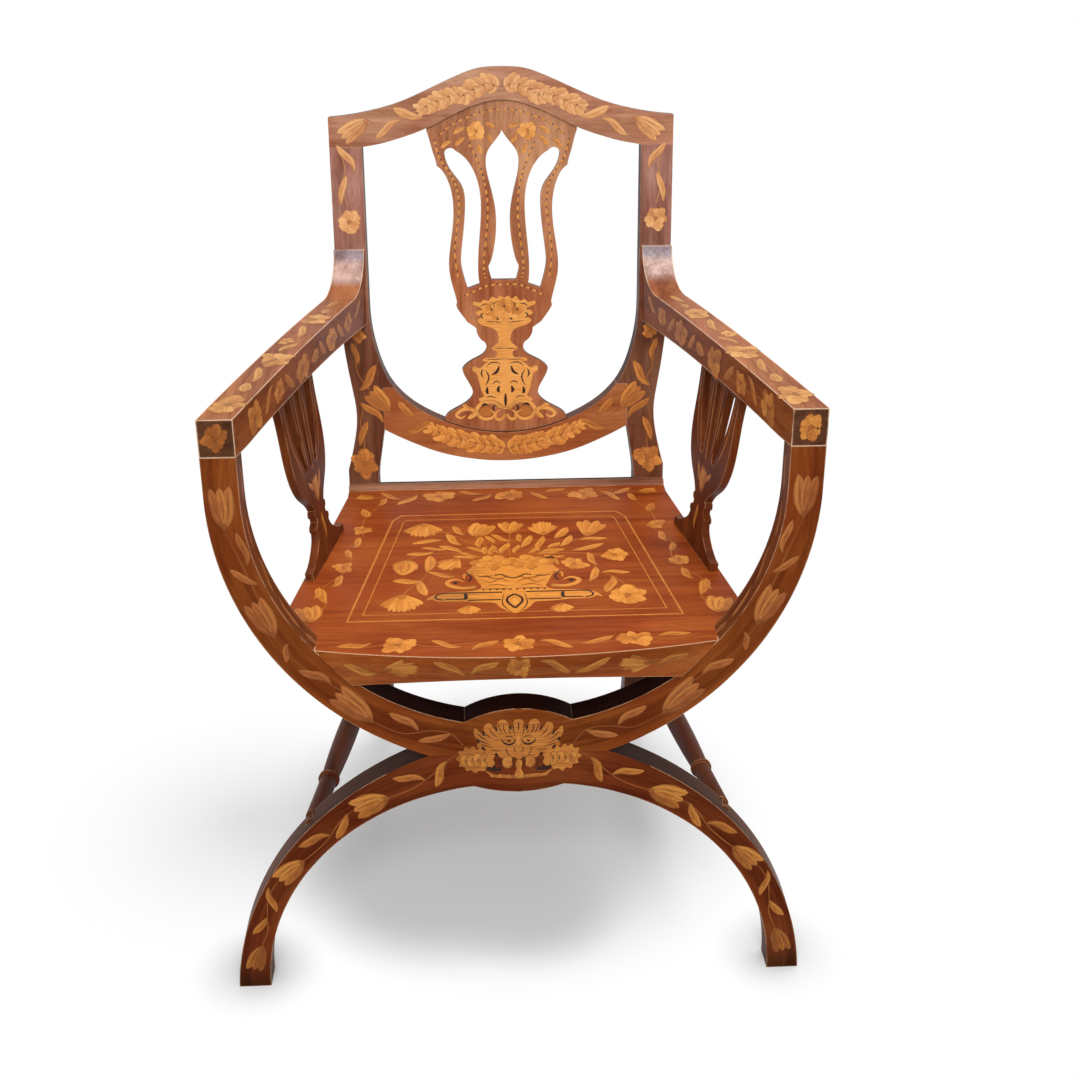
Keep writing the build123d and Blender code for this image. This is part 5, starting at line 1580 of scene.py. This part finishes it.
@dataclass
class Arms:
    """The slanting arms and the pierced splats that carry them."""

    front_x: float = 302.0
    rear_x: float = 199.5
    front_y: float = -270.0
    rear_y: float = 196.4
    crown: tuple[Point, Point, Point] = ((-270.0, 727.0), (-25.11, 734.0), (139.43, 733.0))
    ramp: Point = (139.4, 785.0)
    ramp_radius: float = 52.0
    inner_rear: Triple = (180.0, 196.43, 0.0)
    inner_run: Triple = (0.2166, -0.97626, 0.0)
    splat_foot: Triple = (228.5, -37.0, 460.0)
    splat_half: float = 5.0
    splat_toe: float = math.radians(9.5)
    splat_lean: float = math.radians(7.2)
    # hands have kept the tops glossy and worn the edges pale; the tops' lighter colour is painted
    # sheen, and the ramps' greyish pink and blue-grey are painted reflections
    veneer: Finish = MahoganyVeneer(
        "mahogany_arm_veneer", "#88471d", Grain.BACKWARD, shine=0.06, gloss=0.38, worn=1.0,
        arris_mm=2.6, spared=0.24, bare="#e6c4a4", faces=(
            # the top's lighter colour is painted sheen
            Face((0, -0.05, 1), "#9f6340"), Face((0, -1, 0), "#543320"),
            # painted reflections on the ramp: greyish pink, then blue-grey higher up
            Face((0, -0.8, 0.6), "#cdb1a8", 0.742, 0.752),
            Face((0, -1, 0), "#a59ba4", 0.766, 0.776),
            Face((0, 0, 1), "#a59ba4", 0.772, 0.78), Face((0, 1, 0), "#6b3a1f"),
        ),
    )
    splat_veneer: Finish = MahoganyVeneer(
        "mahogany_arm_splat", "#6b3618", Grain.UPRIGHT, shine=0.06, worn=0.9, bare="#b4805c",
    )
    inlay: Finish = SatinwoodInlay("satinwood_arm_inlay", "#bb7f42", "#9a5f2a", "#d39a58")
    inner_inlay: Finish = SatinwoodInlay(
        "satinwood_arm_inner_inlay", "#b96f2e", "#955522", "#cf8a3f"
    )
    steel: Finish = PlainFinish("steel_arm_screw", "#8b8a87", "#6f6d6a", 0.42, 1.0)
    top_motifs: tuple[Placed, ...] = (
        (ROSE, (16, 0), (64, 0), 31), (BUD, (76, -3), (102, 2), 17),
        (LEAF, (104, -3), (150, 7), -11), (ROSE, (152, 0), (200, -2), 30),
        (LEAF, (202, 2), (234, -9), 11), (ROSE, (228, 7), (252, 7), 15),
        (LEAF, (254, -2), (302, 8), -11), (ROSE, (306, 1), (350, 1), 28),
        (BUD, (356, -2), (374, 1), 13), (LEAF, (380, 6), (416, 0), -10),
    )
    inner_motifs: tuple[Placed, ...] = (
        (LEAF, (64, 712), (32, 726), 11), (ROSE, (72, 712), (102, 712), 24),
        (LEAF, (106, 700), (132, 723), -11), (ROSE, (136, 711), (174, 710), 30),
        (LEAF, (178, 700), (202, 723), -11), (BUD, (206, 712), (232, 708), 19),
        (ROSE, (242, 711), (286, 709), 31), (LEAF, (292, 698), (322, 722), -12),
        (ROSE, (328, 711), (358, 709), 25), (LEAF, (360, 724), (388, 698), 11),
        (ROSE, (398, 707), (438, 707), 30),
    )

    def build(self) -> None:
        """Dresses the arms and lays their marquetry."""
        dress(self.veneer.build(), "arm_")
        dress(self.splat_veneer.build(), "arm_splat_")
        dress(self.steel.build(), "arm_screws")
        inlay, inner_inlay = self.inlay.build(), self.inner_inlay.build()
        front = Vector((self.front_x, self.front_y, 0))
        rear = Vector((self.rear_x, self.rear_y, 0))
        top = ArmTop(front, rear, self.crown, self.ramp, self.ramp_radius)
        inner = FlatGround(Vector(self.inner_rear), Vector(self.inner_run), UPWARD)
        for side, upper, inward in both_sides(top, inner):
            Marquetry(f"arm_top_marquetry_{side}", upper, 0.12).trail(self.top_motifs, [
                [(64, 0), (120, 6), (154, -2)], [(194, -2), (240, 4), (308, 1)],
                [(346, 1), (380, -2), (416, 2)],
            ]).finish(inlay)
            Marquetry(f"arm_inner_marquetry_{side}", inward).trail(self.inner_motifs, [
                [(34, 718), (86, 708), (136, 714), (200, 704), (246, 712)],
                [(284, 710), (330, 704), (400, 710)],
            ]).finish(inner_inlay)
        self.lay_splats(inner_inlay)

    def lay_splats(self, inlay: Material) -> None:
        """Lays the strips and leaves on the inner faces of the arm splats.

        Args:
            inlay: The finish of the light veneer.
        """
        toe, lean = self.splat_toe, self.splat_lean
        back = Vector((-math.sin(toe), math.cos(toe), 0))
        out = Vector(
            (math.cos(lean) * math.cos(toe), math.cos(lean) * math.sin(toe), -math.sin(lean))
        )
        foot = Vector(self.splat_foot) - out * self.splat_half
        face = FlatGround(foot, -back, out.cross(back))
        for side, ground in both_sides(face):
            sheet = Marquetry(f"arm_splat_marquetry_{side}", ground)
            for strip in (((12, 120), (15, 160), (18, 222)), ((30, 116), (52, 160), (62, 222))):
                for x in (-1, 1):
                    sheet.lay(on_side(x, *strip), 3.0, Outline.LINE, -0.15, 1, 0.1, 14)
            sheet.stamp(TULIP, (0, 74), (0, 106), 20)
            for x in (-1, 1):
                sheet.stamp(LEAF, (x * 6, 84), (x * 24, 106), 7)
            sheet.stamp(LEAF, (0, 22), (0, 58), 9)
            sheet.finish(inlay)


@dataclass
class Stretchers:
    """The turned rails from the front legs to the rear ones."""

    # turned from the solid and worn pale on its rings, which also stand in for the highlights on
    # the turning: a painted highlight
    wood: Finish = MahoganyVeneer(
        "turned_mahogany_stretcher", "#5f3019", Grain.BACKWARD, shine=0.05, bare="#cf9c70", worn=0.9
    )

    def build(self) -> None:
        """Dresses the stretchers."""
        dress(self.wood.build(), "side_stretcher_")


# ---- studio ------------------------------------------------------------------------------
@dataclass(frozen=True)
class Studio:
    """A pale floor, soft lamps, a white surround and the camera, in metres and degrees.

    shaded lists the parts of the floor that show their shadow: a centre, how far from it the
    shadow is whole and where it ends. The rest of the floor looks white.
    """

    camera_place: Triple = (-0.0383, -1.5807, 1.2184)
    yaw: float = 2.745
    pitch: float = 22.844
    roll: float = -0.13
    lens: float = 46.22
    shift: float = -0.0649
    shaded: tuple[tuple[Point, float, float], ...] = (
        ((0.0, 0.06), 0.16, 0.38), ((-0.1, -0.06), 0.1, 0.22), ((0.02, -0.14), 0.04, 0.14),
        ((-0.38, 0.06), -0.15, 0.3), ((0.32, -0.24), 0.0, 0.09), ((-0.32, -0.24), 0.0, 0.09),
    )
    softboxes: tuple[tuple[str, Triple, Triple, float], ...] = (
        ("overhead_softbox", (0.5, 0.45, 3.0), (0, 0, 0), 34),
        ("front_softbox", (-0.1, -2.6, 1.9), (0, 0, 0.65), 64),
    )
    softbox_size: float = 1.4
    floor_size: float = 12.0

    def build(self) -> None:
        """Builds the floor, the surround, the lamps and the camera."""
        self.lay_floor()
        self.surround()
        for softbox in self.softboxes:
            self.hang(*softbox)
        self.place_camera()

    def lay_floor(self) -> None:
        """Lays the floor, which looks white where nothing shades it."""
        mesh = bmesh.new()
        bmesh.ops.create_grid(mesh, x_segments=1, y_segments=1, size=self.floor_size)
        data = bpy.data.meshes.new("studio_floor")
        mesh.to_mesh(data)
        mesh.free()
        floor = bpy.data.objects.new("studio_floor", data)
        bpy.context.scene.collection.objects.link(floor)
        material, tree, shader = new_material("matt_white_paper")
        clear = seen = self.seen(tree)
        tone = add_node(
            tree, "MixRGB", Fac=seen, Color1=linear("#8c8c8c"), Color2=linear("#e2e2e2")
        )
        feed(tree, shader, Base_Color=tone, Roughness=0.9, Specular_IOR_Level=0.0)
        place = add_node(tree, "TexCoord").outputs["Object"]
        for centre, near, far in self.shaded:
            away = add_node(
                tree, "VectorMath", operation="DISTANCE", in_0=place, in_1=(*centre, 0.0)
            )
            open_floor = add_node(
                tree, "MapRange", interpolation_type="SMOOTHSTEP",
                Value=away.outputs["Value"], From_Min=near, From_Max=far,
            )
            clear = add_node(tree, "Math", operation="MULTIPLY", in_0=clear, in_1=open_floor)
        white = add_node(tree, "Emission", Color=(1, 1, 1, 1), Strength=1.0)
        pick = add_node(tree, "MixShader", Fac=clear, in_1=shader, in_2=white)
        out = next(n for n in tree.nodes if n.type == "OUTPUT_MATERIAL")
        feed(tree, out, Surface=pick)
        data.materials.append(material)
        floor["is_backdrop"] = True

    def seen(self, tree: Tree) -> Source:
        """Finds whether the camera sees it, straight or in a reflection.

        Args:
            tree: The tree that needs to know.

        Returns:
            A value that is 1 for such a ray.
        """
        path = add_node(tree, "LightPath")
        shown = path.outputs["Is Camera Ray"]
        for ray in ("Is Glossy Ray", "Is Transmission Ray"):
            shown = add_node(tree, "Math", operation="MAXIMUM", in_0=shown, in_1=path.outputs[ray])
        return shown

    def surround(self) -> None:
        """Makes the surround white to the camera and dimmer as a light."""
        world = bpy.data.worlds.new("studio_surround")
        world.use_nodes = True
        bpy.context.scene.world = world
        tree = world.node_tree
        strength = add_node(tree, "MapRange", Value=self.seen(tree), To_Min=0.5, To_Max=1.0)
        sky = next(n for n in tree.nodes if n.type == "BACKGROUND")
        feed(tree, sky, Color=(1, 1, 1, 1), Strength=strength)

    def hang(self, name: str, place: Triple, aim: Triple, power: float) -> None:
        """Hangs one soft lamp.

        Args:
            name: The lamp's name.
            place: Where it hangs, in metres.
            aim: What it points at.
            power: Its power in watts.
        """
        light = bpy.data.lights.new(name, "AREA")
        light.size = self.softbox_size
        light.energy = power
        holder = bpy.data.objects.new(name, light)
        holder.location = place
        holder.rotation_euler = (Vector(aim) - Vector(place)).to_track_quat("-Z", "Y").to_euler()
        bpy.context.scene.collection.objects.link(holder)

    def place_camera(self) -> None:
        """Stands the camera in front of the chair, above the height of its arms."""
        data = bpy.data.cameras.new("camera")
        data.lens = self.lens
        data.sensor_width = 36.0
        data.shift_y = self.shift
        camera = bpy.data.objects.new("camera", data)
        turn = (
            Matrix.Rotation(math.radians(-self.yaw), 4, "Z")
            @ Matrix.Rotation(math.radians(90 - self.pitch), 4, "X")
            @ Matrix.Rotation(math.radians(self.roll), 4, "Z")
        )
        camera.matrix_world = Matrix.Translation(self.camera_place) @ turn
        bpy.context.scene.collection.objects.link(camera)
        bpy.context.scene.camera = camera


def main() -> None:
    """Builds the chair's finishes and marquetry and the studio, and measures the CAD and visual
    sizes.
    """
    logging.basicConfig(level=logging.INFO)
    for part in (FrontFrame(), Seat(), Back(), Arms(), Stretchers(), Studio()):
        part.build()
        log.info("%s built", type(part).__name__)
    bpy.context.scene.view_settings.view_transform = "Standard"
    sizes = {"cad": cad_box, "visual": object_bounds()}
    {k: [list(map(float, c)) for c in box] for k, box in sizes.items()}


if __name__ == "__main__":
    main()
